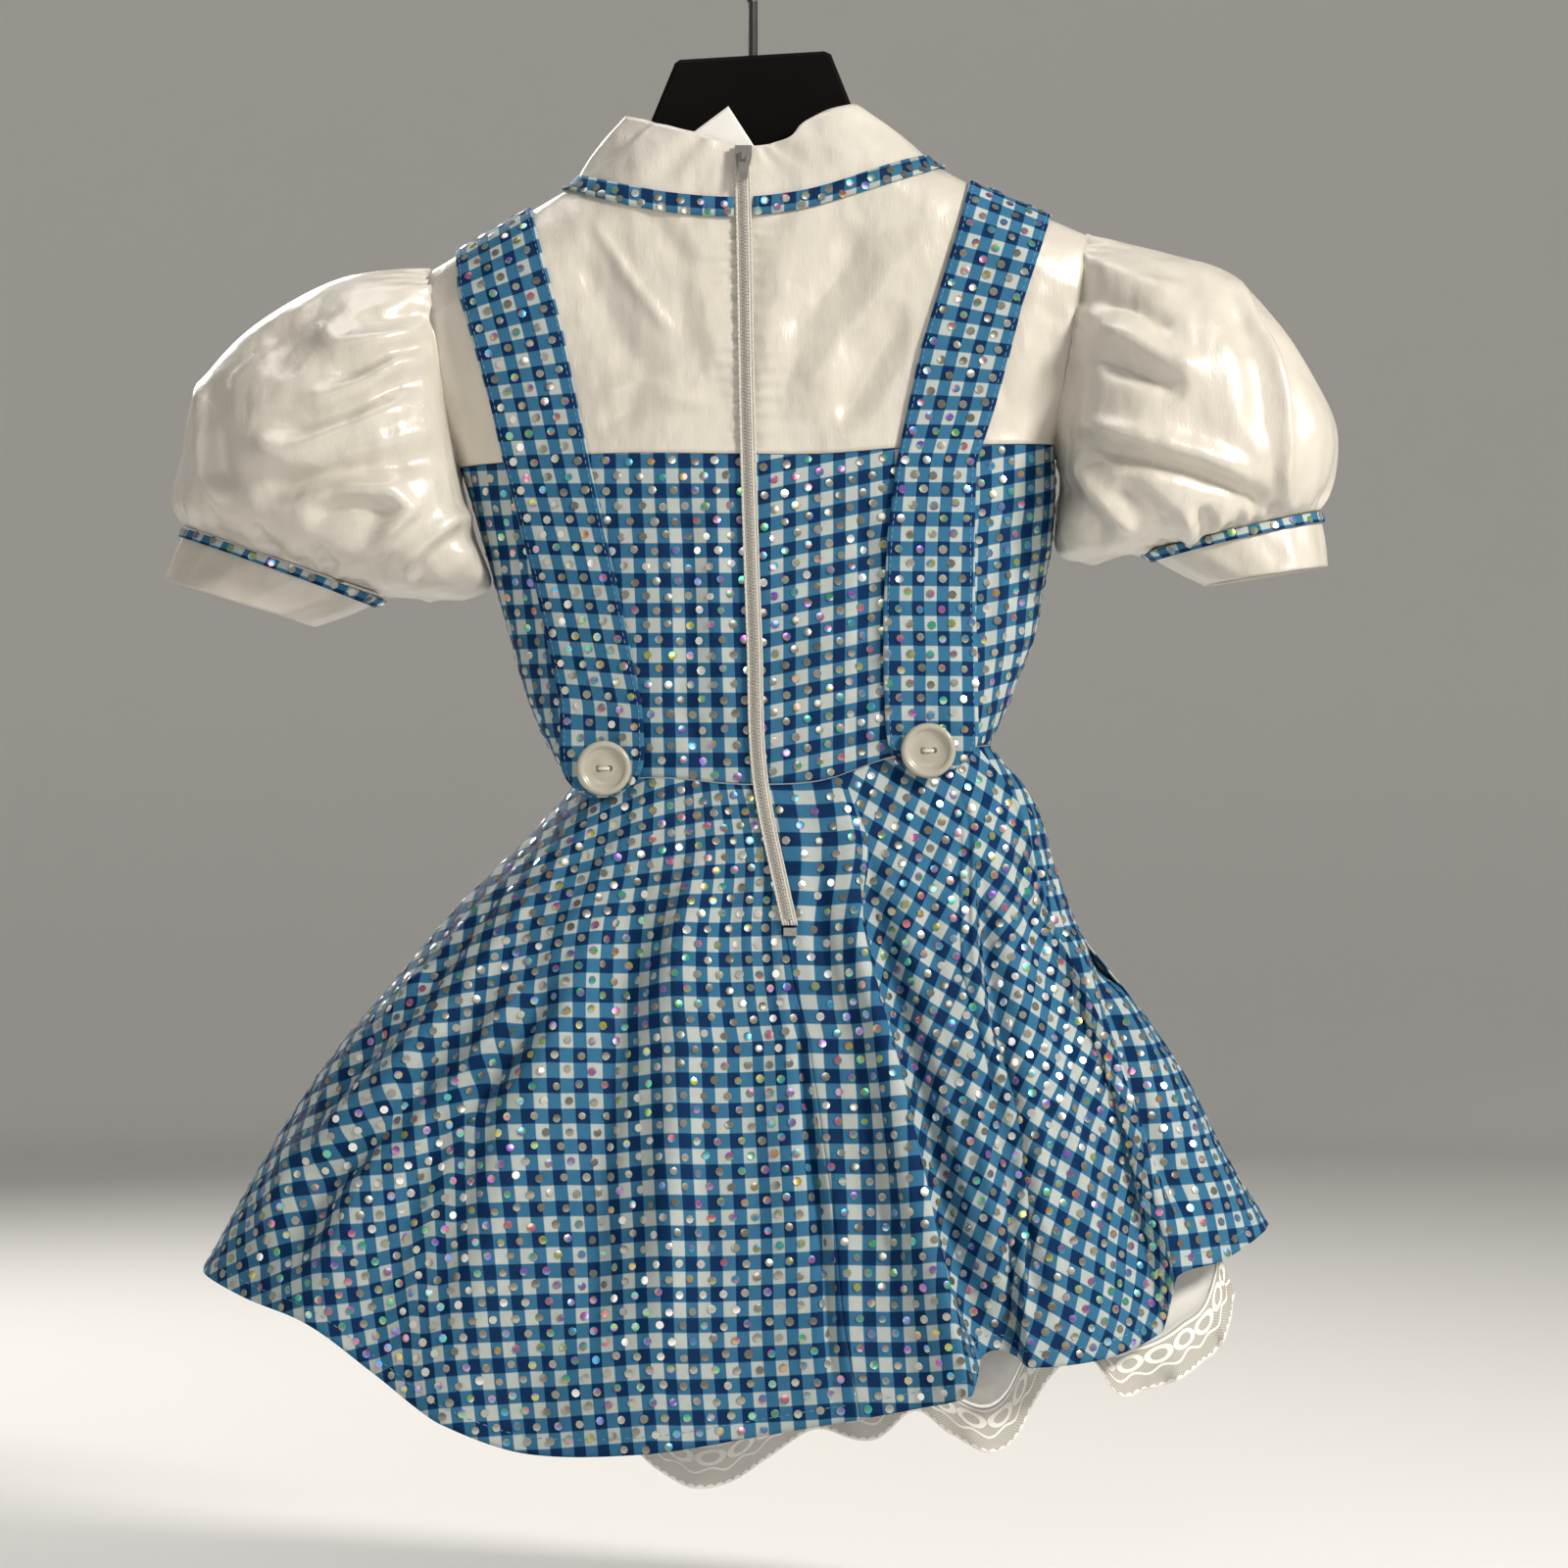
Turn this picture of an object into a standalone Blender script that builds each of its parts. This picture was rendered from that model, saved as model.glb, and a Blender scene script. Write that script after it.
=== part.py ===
"""A child's costume dress hanging on a black hanger: satin blouse with puff sleeves, gingham pinafore on top.

Metres, +Z up. The origin is the inner top of the hanger's hook. -Y faces whoever looks at the
dress's back, +Y is the wearer's front, and -X is the wearer's left. Sizes in the tables are in
millimetres. Each cloth piece is a wall between two grids of points, an outer and an inner one.
"""

import math
from collections import namedtuple

import bmesh
import bpy
import numpy as np

MM = 0.001

# Driving sizes, in millimetres
SEAM_GAP = 0.3
SATIN = 1.1
GINGHAM = 1.2
NET = 1.0
TRIM = 1.1
STRAP_LIFT = 0.9
TRIM_LIFT = 0.6
CREST_ROUND = 30.0
BUTTON_RADIUS = 12.4
WIRE_RADIUS = 2.25
HOOK_RADIUS = 19.0
HANGER_HALF = 5.0
GATHER_WAVES = 9
GATHER_HEIGHT = 2.4
LACE_WAVES = 22
LACE_WAVE_HEIGHT = 3.4
LACE_DEPTH = 21.0

COLOURS = {
    "satin": ((0.86, 0.85, 0.82, 1.0), 0.35, 0.0),
    "gingham": ((0.10, 0.32, 0.58, 1.0), 0.5, 0.0),
    "net": ((0.88, 0.87, 0.85, 1.0), 0.8, 0.0),
    "button": ((0.84, 0.82, 0.77, 1.0), 0.3, 0.0),
    "zip": ((0.82, 0.81, 0.78, 1.0), 0.6, 0.0),
    "metal": ((0.62, 0.62, 0.62, 1.0), 0.3, 1.0),
    "hanger": ((0.01, 0.01, 0.011, 1.0), 0.45, 0.0),
}


def table(columns, *rows):
    """Rows of sizes in millimetres, under named columns."""
    kind = namedtuple("Row", columns)
    return [kind(*row) for row in rows]


def column(rows, name):
    """One named column as an array."""
    return np.array([getattr(row, name) for row in rows], float)


def curve(knots, values, at):
    """A smooth curve through the values at rising knots, with the slope at each knot from its neighbours."""
    knots = np.asarray(knots, float)
    values = np.asarray(values, float)
    slopes = np.gradient(values, knots)
    at = np.clip(np.asarray(at, float), knots[0], knots[-1])
    place = np.clip(np.searchsorted(knots, at) - 1, 0, len(knots) - 2)
    span = knots[place + 1] - knots[place]
    part = (at - knots[place]) / span
    start, end = values[place], values[place + 1]
    rise_in, rise_out = slopes[place] * span, slopes[place + 1] * span
    bend = 3 * (end - start) - 2 * rise_in - rise_out
    tail = rise_in + rise_out - 2 * (end - start)
    return start + part * (rise_in + part * (bend + part * tail))


def read(rows, key, name, at):
    """The named column of a table as a smooth curve over its key column."""
    order = np.argsort(column(rows, key))
    return curve(column(rows, key)[order], column(rows, name)[order], at)


# Torso sections, each a flattened oval at one height: its side ends, its depth behind and in
# front of the side seams, and how square it is. The armhole cuts the ends off above the bodice.
TORSO = table(
    "z left right back front square",
    (-430, -78, 103, 49, 49, 2.7),
    (-410, -83, 105, 48, 48, 2.7),
    (-391, -94, 109, 47.5, 47.5, 2.7),
    (-376, -101, 116, 47, 47, 2.7),
    (-358, -107, 123, 46, 46.5, 2.7),
    (-343, -111, 129, 45.5, 46, 2.6),
    (-322, -117, 133, 44.5, 45.5, 2.6),
    (-301, -123, 137, 43, 44.5, 2.6),
    (-268, -133, 139, 41, 43, 2.6),
    (-254, -138.5, 138.5, 39, 41, 2.7),
    (-225, -152, 153, 36, 38, 2.9),
    (-199, -158, 160, 33, 35, 3.0),
    (-174, -160, 165, 30, 32, 3.0),
    (-157, -160, 166, 28, 30, 3.0),
    (-95, -160, 168, 24, 26, 3.0),
)

# The shoulder line, where front and back meet. Between the neck's ends it is only a guide.
SHOULDER = table(
    "x z",
    (-160, -181), (-148, -174), (-117, -155.5), (-86, -137), (-40, -110), (0, -95),
    (40, -100), (83, -125), (100, -134), (125, -145), (153, -157), (165, -162),
)

# Seams and edges seen from the back
NECK_BACK = table("x z", (-82, -134.6), (-60, -141), (-35, -145.5), (-4, -147), (25, -143), (55, -134), (83, -125))
NECK_FRONT = table("x z", (-82, -134.6), (-70, -155), (-45, -174), (0, -184), (45, -172), (72, -148), (83, -125))
CHEST_SEAM = table("x z", (-134, -264.5), (-109, -263), (-72, -260), (-4, -260), (30, -260), (68, -257), (138.5, -254))
WAIST = table("x z", (-83, -410), (-49, -406), (0, -409), (32, -407), (62, -397), (109, -391))
CENTRE_BACK = table(
    "z x",
    (-110, -5), (-148, -4), (-252, -2), (-342, 1), (-409, 4), (-454, 13), (-472, 17),
    (-514, 25), (-558, 31), (-597, 33), (-625, 37), (-700, 50),
)
ARMHOLE_LEFT = table("z x", (-268, -134), (-225, -142), (-199, -145.5), (-174, -148))
ARMHOLE_RIGHT = table("z x", (-262, 139), (-246, 139.5), (-220, 143), (-194, 148), (-157, 153))

# Creases pressed into the bodice outside and inside the straps: where each starts and ends, how deep and how wide
TORSO_CREASES = table(
    "x_top z_top x_end z_end depth width",
    (-120, -290, -92, -392, -3.0, 5),
    (-113, -330, -90, -385, 2.0, 5),
    (112, -280, 104, -372, -3.0, 5),
    (121, -290, 112, -360, 2.0, 5),
    (-40, -205, -62, -252, -1.5, 9),
    (52, -200, 40, -252, -1.5, 10),
    (-28, -375, -22, -405, -1.8, 4),
    (44, -370, 48, -400, -1.8, 5),
)


def crease_lift(x, z, side):
    """How far the creases push the back cloth out at each place; the front has the same ones, shallower."""
    lift = np.zeros(np.broadcast(x, z).shape)
    for fold in TORSO_CREASES:
        run = (z - fold.z_top) / (fold.z_end - fold.z_top)
        line = fold.x_top + (fold.x_end - fold.x_top) * run
        fade = np.clip(np.minimum(run, 1 - run) * 3.5, 0, 1)
        lift = lift + fold.depth * np.exp(-((x - line) / fold.width) ** 2) * fade * fade * (3 - 2 * fade)
    return lift * (1.0 if side < 0 else 0.6)


def torso_depth(x, z, side):
    """Distance of the outer cloth behind (side -1) or before (side 1) the side seams."""
    left, right = read(TORSO, "z", "left", z), read(TORSO, "z", "right", z)
    deep = read(TORSO, "z", "back" if side < 0 else "front", z)
    square = read(TORSO, "z", "square", z)
    across = np.abs((x - (left + right) / 2) / ((right - left) / 2))
    oval = np.clip(1 - np.clip(across, 0, 1) ** square, 0, 1) ** (1 / square)
    below = np.clip((read(SHOULDER, "x", "z", x) - z) / CREST_ROUND, 0, 1)
    crest = np.sqrt(1 - (1 - below) ** 2)
    return deep * oval * crest + crease_lift(x, z, side) * np.clip(oval * 1.6 - 0.4, 0, 1)


def torso_normal(x, z, side, step=0.4):
    """Outward direction of the torso's cloth, from its depth a small step to each side."""
    slope_x = (torso_depth(x + step, z, side) - torso_depth(x - step, z, side)) / (2 * step)
    slope_z = (torso_depth(x, z + step, side) - torso_depth(x, z - step, side)) / (2 * step)
    normal = np.stack([-slope_x, np.ones_like(slope_x), -slope_z], axis=-1)
    normal /= np.linalg.norm(normal, axis=-1, keepdims=True)
    normal[..., 1] *= side
    return normal


def on_torso(x, z, side, out):
    """Points of the torso's cloth moved out by a distance, kept on their own side of the side seams."""
    x, z = np.broadcast_arrays(np.asarray(x, float), np.asarray(z, float))
    spot = np.stack([x, side * (torso_depth(x, z, side) + SEAM_GAP / 2), z], axis=-1)
    spot = spot + torso_normal(x, z, side) * np.asarray(out, float)[..., None]
    spot[..., 1] = side * np.maximum(side * spot[..., 1], SEAM_GAP / 2)
    return spot


def material(kind):
    """One Principled material for each finish."""
    if kind in bpy.data.materials:
        return bpy.data.materials[kind]
    made = bpy.data.materials.new(kind)
    made.use_nodes = True
    shader = made.node_tree.nodes["Principled BSDF"]
    colour, rough, metal = COLOURS[kind]
    shader.inputs["Base Color"].default_value = colour
    shader.inputs["Roughness"].default_value = rough
    shader.inputs["Metallic"].default_value = metal
    made.diffuse_color = colour
    return made


def add_object(name, points, faces, kind, smooth=True):
    """A closed mesh from points in millimetres, with its faces turned outwards."""
    mesh = bpy.data.meshes.new(name)
    mesh.from_pydata([tuple(point) for point in np.asarray(points, float) * MM], [], faces)
    work = bmesh.new()
    work.from_mesh(mesh)
    bmesh.ops.recalc_face_normals(work, faces=work.faces)
    work.to_mesh(mesh)
    work.free()
    mesh.materials.append(material(kind))
    if smooth:
        mesh.shade_smooth()
        mesh.set_sharp_from_angle(angle=math.radians(40))
    made = bpy.data.objects.new(name, mesh)
    bpy.context.scene.collection.objects.link(made)
    return made


def wall(name, outer, inner, kind, around=False):
    """A closed wall between an outer and an inner grid; around joins each row's last point to its first."""
    rows, across = outer.shape[:2]
    last = across if around else across - 1
    count = rows * across

    def spot(row, col, layer):
        return layer * count + row * across + col % across

    faces = []
    for layer in (0, 1):
        for row in range(rows - 1):
            for col in range(last):
                a, b = spot(row, col, layer), spot(row, col + 1, layer)
                c, d = spot(row + 1, col + 1, layer), spot(row + 1, col, layer)
                faces += [(a, b, c), (a, c, d)]
    for row in (0, rows - 1):
        for col in range(last):
            a, b = spot(row, col, 0), spot(row, col + 1, 0)
            c, d = spot(row, col + 1, 1), spot(row, col, 1)
            faces += [(a, b, c), (a, c, d)]
    if not around:
        for col in (0, across - 1):
            for row in range(rows - 1):
                a, b = spot(row, col, 0), spot(row + 1, col, 0)
                c, d = spot(row + 1, col, 1), spot(row, col, 1)
                faces += [(a, b, c), (a, c, d)]
    points = np.concatenate([outer.reshape(-1, 3), inner.reshape(-1, 3)])
    return add_object(name, points, faces, kind)


def grid_normals(grid, around, outward):
    """Unit normals of a grid of points, turned to the side of the outward hint."""
    if around:
        across = np.roll(grid, -1, axis=1) - np.roll(grid, 1, axis=1)
    else:
        across = np.gradient(grid, axis=1)
    along = np.gradient(grid, axis=0)
    normal = np.cross(across, along)
    normal /= np.linalg.norm(normal, axis=-1, keepdims=True)
    flip = np.sign(np.sum(normal * outward, axis=(-1, -2, -3)))
    return normal * flip


def lerp(start, end, part):
    return start + (end - start) * part


# Blouse panels: a ruled grid from the neck and shoulder line down to the chest seam
BLOUSE_ROWS = np.array([0, 0.004, 0.015, 0.045, 0.1, 0.2, 0.35, 0.55, 0.78, 1.0])
NECK_COLUMNS = 6
SHOULDER_COLUMNS = 5


def blouse_outline(hand, side, from_centre):
    """Places on the top edge and on the chest seam, from the centre (or the other armhole) to this armhole."""
    neck = NECK_BACK if side < 0 else NECK_FRONT
    neck_end = neck[0].x if hand < 0 else neck[-1].x
    tip = (ARMHOLE_LEFT if hand < 0 else ARMHOLE_RIGHT)[-1]
    seam_end = CHEST_SEAM[0].x if hand < 0 else CHEST_SEAM[-1].x
    neck_x = from_centre + (neck_end - from_centre) * np.sin(np.linspace(0, 1, NECK_COLUMNS + 1) * math.pi / 2)
    shoulder_x = np.linspace(neck_end, tip.x, SHOULDER_COLUMNS + 1)[1:]
    top_x = np.concatenate([neck_x, shoulder_x])
    top_z = np.concatenate([read(neck, "x", "z", neck_x), read(SHOULDER, "x", "z", shoulder_x)])
    low_x = from_centre + (seam_end - from_centre) * np.sin(np.linspace(0, 1, len(top_x)) * math.pi / 2)
    return top_x, top_z, low_x


def blouse_grid(top_x, top_z, low_x):
    part = BLOUSE_ROWS[:, None]
    low_z = read(CHEST_SEAM, "x", "z", low_x) + SEAM_GAP / 2
    return lerp(top_x, low_x, part), lerp(top_z, low_z, part)


def panel(name, x, z, side, thick, kind):
    """A torso panel's wall on its own grid of places."""
    wall(name, on_torso(x, z, side, np.zeros(x.shape)), on_torso(x, z, side, np.full(x.shape, -thick)), kind)


def back_x(z, hand):
    """The centre back seam's edge on one hand."""
    return read(CENTRE_BACK, "z", "x", z) + hand * SEAM_GAP / 2


def build_blouse():
    for hand, word in ((-1, "left"), (1, "right")):
        top_x, top_z, low_x = blouse_outline(hand, -1, back_x(np.array(-200.0), hand))
        x, z = blouse_grid(top_x, top_z, low_x)
        x[:, 0] = back_x(z[:, 0], hand)
        panel("blouse_back_" + word, x, z, -1, SATIN, "satin")
    halves = [blouse_outline(hand, 1, 0.0) for hand in (-1, 1)]
    top_x, top_z, low_x = [np.concatenate([half[::-1][:-1], other]) for half, other in zip(*halves)]
    x, z = blouse_grid(top_x, top_z, low_x)
    panel("blouse_front", x, z, 1, SATIN, "satin")


BODICE_ROWS = 8
BODICE_COLUMNS = 9


def bodice_grid(start_top, start_low, hand, columns, start_x=None):
    """A panel from its inner edge to the side seam; its rows blend the chest seam into the waist."""
    across = np.sin(np.linspace(0, 1, columns) * math.pi / 2)
    down = np.linspace(0, 1, BODICE_ROWS)[:, None]
    end_top = CHEST_SEAM[0].x if hand < 0 else CHEST_SEAM[-1].x
    end_low = WAIST[0].x if hand < 0 else WAIST[-1].x
    top_z = read(CHEST_SEAM, "x", "z", lerp(start_top, end_top, across)) - SEAM_GAP / 2
    low_z = read(WAIST, "x", "z", lerp(start_low, end_low, across)) + SEAM_GAP / 2
    z = lerp(top_z, low_z, down)
    side_x = read(TORSO, "z", "left" if hand < 0 else "right", z[:, -1:])
    inner_x = lerp(start_top, start_low, down) if start_x is None else start_x(z[:, :1])
    return lerp(inner_x, side_x, across), z


def build_bodice():
    for hand, word in ((-1, "left"), (1, "right")):
        x, z = bodice_grid(-2.0, 4.0, hand, BODICE_COLUMNS, lambda at, hand=hand: back_x(at, hand))
        panel("bodice_back_" + word, x, z, -1, GINGHAM, "gingham")
    halves = [bodice_grid(2.0, 8.0, hand, BODICE_COLUMNS - 1) for hand in (-1, 1)]
    x, z = [np.concatenate([half[:, ::-1][:, :-1], other], axis=1) for half, other in zip(*halves)]
    panel("bodice_front", x, z, 1, GINGHAM, "gingham")


# Skirt sections from the waist (fall 0) to the hem (fall 1): side ends and depths
SKIRT = table(
    "fall left right back front",
    (0.0, -83, 109, 48, 48),
    (0.10, -102, 127, 54, 54),
    (0.25, -136, 138, 62, 62),
    (0.39, -163, 151, 69, 69),
    (0.52, -187, 173, 74, 75),
    (0.68, -211, 197, 79, 80),
    (0.86, -235, 218, 84, 85),
    (1.0, -252, 237, 86, 88),
)

# Folds across the skirt, each a line from waist to hem given by its share of the section's
# width, how far it stands out at the hem, and the hem's height there
SKIRT_BACK = table(
    "waist mid hem lift hem_z",
    (0.0, 0.0, 0.0, 0, -631),
    (0.045, 0.045, 0.05, -4, -641),
    (0.10, 0.095, 0.11, 4, -650),
    (0.15, 0.15, 0.165, -5, -670),
    (0.21, 0.22, 0.23, 3, -692),
    (0.27, 0.31, 0.31, -3, -706),
    (0.34, 0.42, 0.42, 4, -705),
    (0.40, 0.52, 0.52, -2, -698),
    (0.453, 0.60, 0.613, 2, -690),
    (0.54, 0.66, 0.665, 3, -685),
    (0.62, 0.708, 0.714, 15, -678),
    (0.645, 0.722, 0.727, -6, -663),
    (0.75, 0.775, 0.744, -8, -661),
    (0.86, 0.825, 0.756, -5, -664),
    (0.89, 0.846, 0.767, 9, -668),
    (0.925, 0.91, 0.84, 6, -665),
    (0.95, 0.962, 0.893, -5, -655),
    (0.97, 0.976, 0.905, 6, -630),
    (0.985, 0.988, 0.95, 2, -624),
    (1.0, 1.0, 1.0, 0, -611),
)
SKIRT_FRONT = table(
    "waist mid hem lift hem_z",
    (0.0, 0.0, 0.0, 0, -631),
    (0.06, 0.06, 0.06, -5, -637),
    (0.13, 0.13, 0.12, 5, -645),
    (0.21, 0.20, 0.20, -6, -656),
    (0.30, 0.29, 0.30, 5, -667),
    (0.39, 0.39, 0.39, -6, -672),
    (0.47, 0.48, 0.48, 6, -675),
    (0.56, 0.57, 0.57, -6, -673),
    (0.65, 0.67, 0.67, 5, -665),
    (0.74, 0.76, 0.76, -6, -652),
    (0.83, 0.85, 0.85, 5, -637),
    (0.93, 0.93, 0.93, -4, -621),
    (1.0, 1.0, 1.0, 0, -611),
)
CENTRE_STATION = 8
WAIST_GAP = 0.45
SKIRT_SQUARE = 2.3
# The fall at which the folds' middle shares are given
MID_FALL = 0.4


def fold_share(rows, station, fall):
    """Share of the section's width at a place between folds, which drifts from the waist to the hem."""
    order = np.arange(len(rows))
    at = [np.interp(station, order, column(rows, name)) for name in ("waist", "mid", "hem")]
    early = lerp(at[0], at[1], np.clip(fall / MID_FALL, 0, 1) ** 0.8)
    late = lerp(at[1], at[2], np.clip((fall - MID_FALL) / (1 - MID_FALL), 0, 1))
    return np.where(fall < MID_FALL, early, late)


def skirt_points(rows, side, station, fall):
    """Outer cloth of the skirt: the waist's own curve, let out to each section, with the folds added."""
    order = np.arange(len(rows))
    share = fold_share(rows, station, fall)
    top_share = fold_share(rows, station, np.zeros_like(fall))
    top_x = lerp(WAIST[0].x, WAIST[-1].x, top_share)
    top_z = read(WAIST, "x", "z", top_x) - WAIST_GAP
    left, right = read(SKIRT, "fall", "left", fall), read(SKIRT, "fall", "right", fall)
    deep = read(SKIRT, "fall", "back" if side < 0 else "front", fall) - (SKIRT[0].back if side < 0 else SKIRT[0].front)
    x = lerp(left, right, share)
    z = lerp(top_z, curve(order, column(rows, "hem_z"), station), fall)
    oval = np.clip(1 - np.abs(2 * share - 1) ** SKIRT_SQUARE, 0, 1) ** (1 / SKIRT_SQUARE)
    lift = curve(order, column(rows, "lift"), station) * np.maximum(fall, 0) ** 0.7 * np.clip(oval * 3, 0, 1)
    y = torso_depth(top_x, top_z, side) + deep * oval + lift + SEAM_GAP / 2
    return np.stack([x, side * np.maximum(y, SEAM_GAP / 2), z], axis=-1)


def skirt_wall(rows, side, station, fall, out):
    """Skirt points moved out along the cloth's own normal, from small steps both ways."""
    station, fall = np.broadcast_arrays(station, fall)
    small = 0.02
    across = skirt_points(rows, side, station + small, fall) - skirt_points(rows, side, station - small, fall)
    down = skirt_points(rows, side, station, fall + small) - skirt_points(rows, side, station, fall - small)
    normal = np.cross(across, down) * side
    normal /= np.linalg.norm(normal, axis=-1, keepdims=True)
    spot = skirt_points(rows, side, station, fall) + normal * out
    spot[..., 1] = side * np.maximum(side * spot[..., 1], SEAM_GAP / 2)
    return spot


SKIRT_FALLS = np.array([0, 0.05, 0.11, 0.19, 0.29, 0.40, 0.52, 0.64, 0.76, 0.88, 1.0])[:, None]


def build_skirt():
    parts = (
        ("skirt_back_left", SKIRT_BACK, -1, 0, CENTRE_STATION, 1.9, -1),
        ("skirt_back_right", SKIRT_BACK, -1, CENTRE_STATION, len(SKIRT_BACK) - 1, 1.0, 1),
        ("skirt_front", SKIRT_FRONT, 1, 0, len(SKIRT_FRONT) - 1, 1.9, 0),
    )
    for name, rows, side, first, last, density, seam in parts:
        count = int((last - first) * density) + 1
        station = np.linspace(first, last, count)[None, :]
        outer = skirt_wall(rows, side, station, SKIRT_FALLS, 0.0)
        inner = skirt_wall(rows, side, station, SKIRT_FALLS, -GINGHAM)
        if seam:
            edge = -1 if seam < 0 else 0
            middle = outer[:, edge, 0].copy()
            outer[:, edge, 0] = middle + seam * SEAM_GAP / 2
            inner[:, edge, 0] = middle + seam * SEAM_GAP / 2
        wall(name, outer, inner, "gingham")


# Petticoat and its lace: the lowest edge by share of the width, behind and in front
LACE_EDGE_BACK = table(
    "share z",
    (0.0, -632), (0.15, -660), (0.30, -690), (0.40, -704), (0.43, -716), (0.46, -723), (0.49, -722),
    (0.53, -711), (0.57, -698), (0.63, -702), (0.67, -690), (0.70, -700), (0.765, -701),
    (0.785, -684), (0.845, -670), (0.86, -681), (0.90, -682), (0.95, -673), (0.985, -660), (1.0, -643),
)
LACE_EDGE_FRONT = table(
    "share z", (0.0, -632), (0.2, -668), (0.4, -690), (0.6, -690), (0.8, -668), (1.0, -643),
)
# The underskirt starts a little below the waist seam, shallower than the skirt and inside its side seams
PETTICOAT_DROP = 2.0
PETTICOAT_DEEP = 0.19
PETTICOAT_EDGE = 0.958
PETTICOAT_TOP = 0.93
PETTICOAT_INSET = 3.6
PETTICOAT_SIDE = 6.0
PETTICOAT_COLUMNS = 21
LACE_FLARE = 0.4


def petticoat_points(side, share, fall):
    """The underskirt's cloth, inside the skirt's folds: the waist's curve let out to the skirt's sections."""
    edge = LACE_EDGE_BACK if side < 0 else LACE_EDGE_FRONT
    room = np.clip(fall * 3, 0, 1)
    higher = fall * (0.9 + 0.1 * (1 - (2 * share - 1) ** 2))
    top_x = lerp(WAIST[0].x, WAIST[-1].x, share)
    top_z = read(WAIST, "x", "z", top_x) - PETTICOAT_DROP
    low_z = read(edge, "share", "z", share) + LACE_DEPTH
    name = "back" if side < 0 else "front"
    oval = np.clip(1 - np.abs(2 * share - 1) ** SKIRT_SQUARE, 0, 1) ** (1 / SKIRT_SQUARE)
    deep = torso_depth(top_x, top_z, side) * lerp(PETTICOAT_EDGE, PETTICOAT_TOP, np.clip(fall * 7, 0, 1))
    deep = deep + (read(SKIRT, "fall", name, higher) - getattr(SKIRT[0], name)) * oval
    deep = deep * (1 - PETTICOAT_DEEP * room)
    inset = PETTICOAT_INSET + PETTICOAT_SIDE * room
    left, right = read(SKIRT, "fall", "left", higher) + inset, read(SKIRT, "fall", "right", higher) - inset
    y = side * (np.maximum(deep, 0) + SEAM_GAP)
    return np.stack([lerp(left, right, share), y, lerp(top_z, low_z, fall)], axis=-1)


def offset_in(grid, side, thick):
    """The grid moved in by a thickness, on its own side of the side seams."""
    normal = grid_normals(grid, False, np.array([0.0, side, 0.0]))
    moved = grid - normal * thick
    moved[..., 1] = side * np.maximum(side * moved[..., 1], SEAM_GAP / 2)
    return moved


def build_petticoat():
    for side, word in ((-1, "back"), (1, "front")):
        share = (1 - np.cos(np.linspace(0, math.pi, PETTICOAT_COLUMNS))) / 2
        grid_share, fall = np.broadcast_arrays(share[None, :], np.array([0, 0.15, 0.4, 0.7, 1.0])[:, None])
        outer = petticoat_points(side, grid_share, fall)
        wall("petticoat_" + word, outer, offset_in(outer, side, NET), "net")
        turn = np.linspace(0, math.pi, LACE_WAVES * 3 + 1)
        lace_share = (1 - np.cos(turn)) / 2
        top = np.stack([np.interp(lace_share, share, outer[-1, :, axis]) for axis in range(3)], axis=-1)
        low_z = read(LACE_EDGE_BACK if side < 0 else LACE_EDGE_FRONT, "share", "z", lace_share)
        drop = np.array([0.0, 0.45, 1.0])[:, None]
        start_z = top[:, 2] - 4 * SEAM_GAP
        height = lerp(start_z, low_z, drop)
        flare = (2 * lace_share - 1) * LACE_FLARE * (start_z - height)
        wave = np.sin(turn * LACE_WAVES) * np.clip(np.sin(turn) * 4, 0, 1) * drop
        y = np.broadcast_to(top[:, 1], height.shape) + side * LACE_WAVE_HEIGHT * wave
        lace = np.stack([top[:, 0] + flare, y, height], axis=-1)
        wall("lace_" + word, lace, offset_in(lace, side, NET), "net")


# Puff sleeves: sections from the armhole to the cuff, each between a place on the upper
# outline and one on the lower outline, with half its depth from back to front
SLEEVE_LEFT = table(
    "top_x top_z low_x low_z depth",
    (-148.4, -174, -134.4, -268, 20),
    (-165, -173.5, -131, -281, 37),
    (-190, -177.5, -126, -299, 49),
    (-217, -191, -120, -317, 57),
    (-239, -208, -130, -324, 61),
    (-256, -231, -143, -324.5, 60),
    (-262, -260, -154, -324, 54),
    (-266, -279, -162.5, -323.5, 43),
    (-260, -291, -168.5, -322.5, 29),
)
SLEEVE_RIGHT = table(
    "top_x top_z low_x low_z depth",
    (153.4, -157, 139.4, -258, 20),
    (168, -160.5, 141, -270, 37),
    (193, -166.5, 140, -284, 49),
    (219, -175, 138.5, -298, 57),
    (241, -197, 142, -305, 61),
    (257, -222, 151, -307, 60),
    (267.5, -245, 161, -306.5, 54),
    (267, -267, 170.5, -304.5, 43),
    (260, -284, 179, -302, 29),
)
# Soft folds on the sleeves: from one place to another by turn (0 top, 0.25 back, 0.5 below, 0.75 front) and run
SLEEVE_FOLDS = table(
    "turn_start turn_end run_start run_end height width",
    (0.12, 0.07, 0.08, 0.62, -4.0, 0.022),
    (0.19, 0.13, 0.05, 0.70, 3.5, 0.030),
    (0.25, 0.22, 0.04, 0.80, -4.5, 0.026),
    (0.32, 0.30, 0.10, 0.90, 3.0, 0.030),
    (0.39, 0.36, 0.30, 0.95, -3.5, 0.025),
    (0.90, 0.93, 0.08, 0.60, -4.0, 0.025),
    (0.80, 0.84, 0.05, 0.80, 3.5, 0.030),
    (0.72, 0.75, 0.05, 0.85, -4.0, 0.026),
    (0.63, 0.66, 0.20, 0.90, 3.0, 0.030),
)
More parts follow.
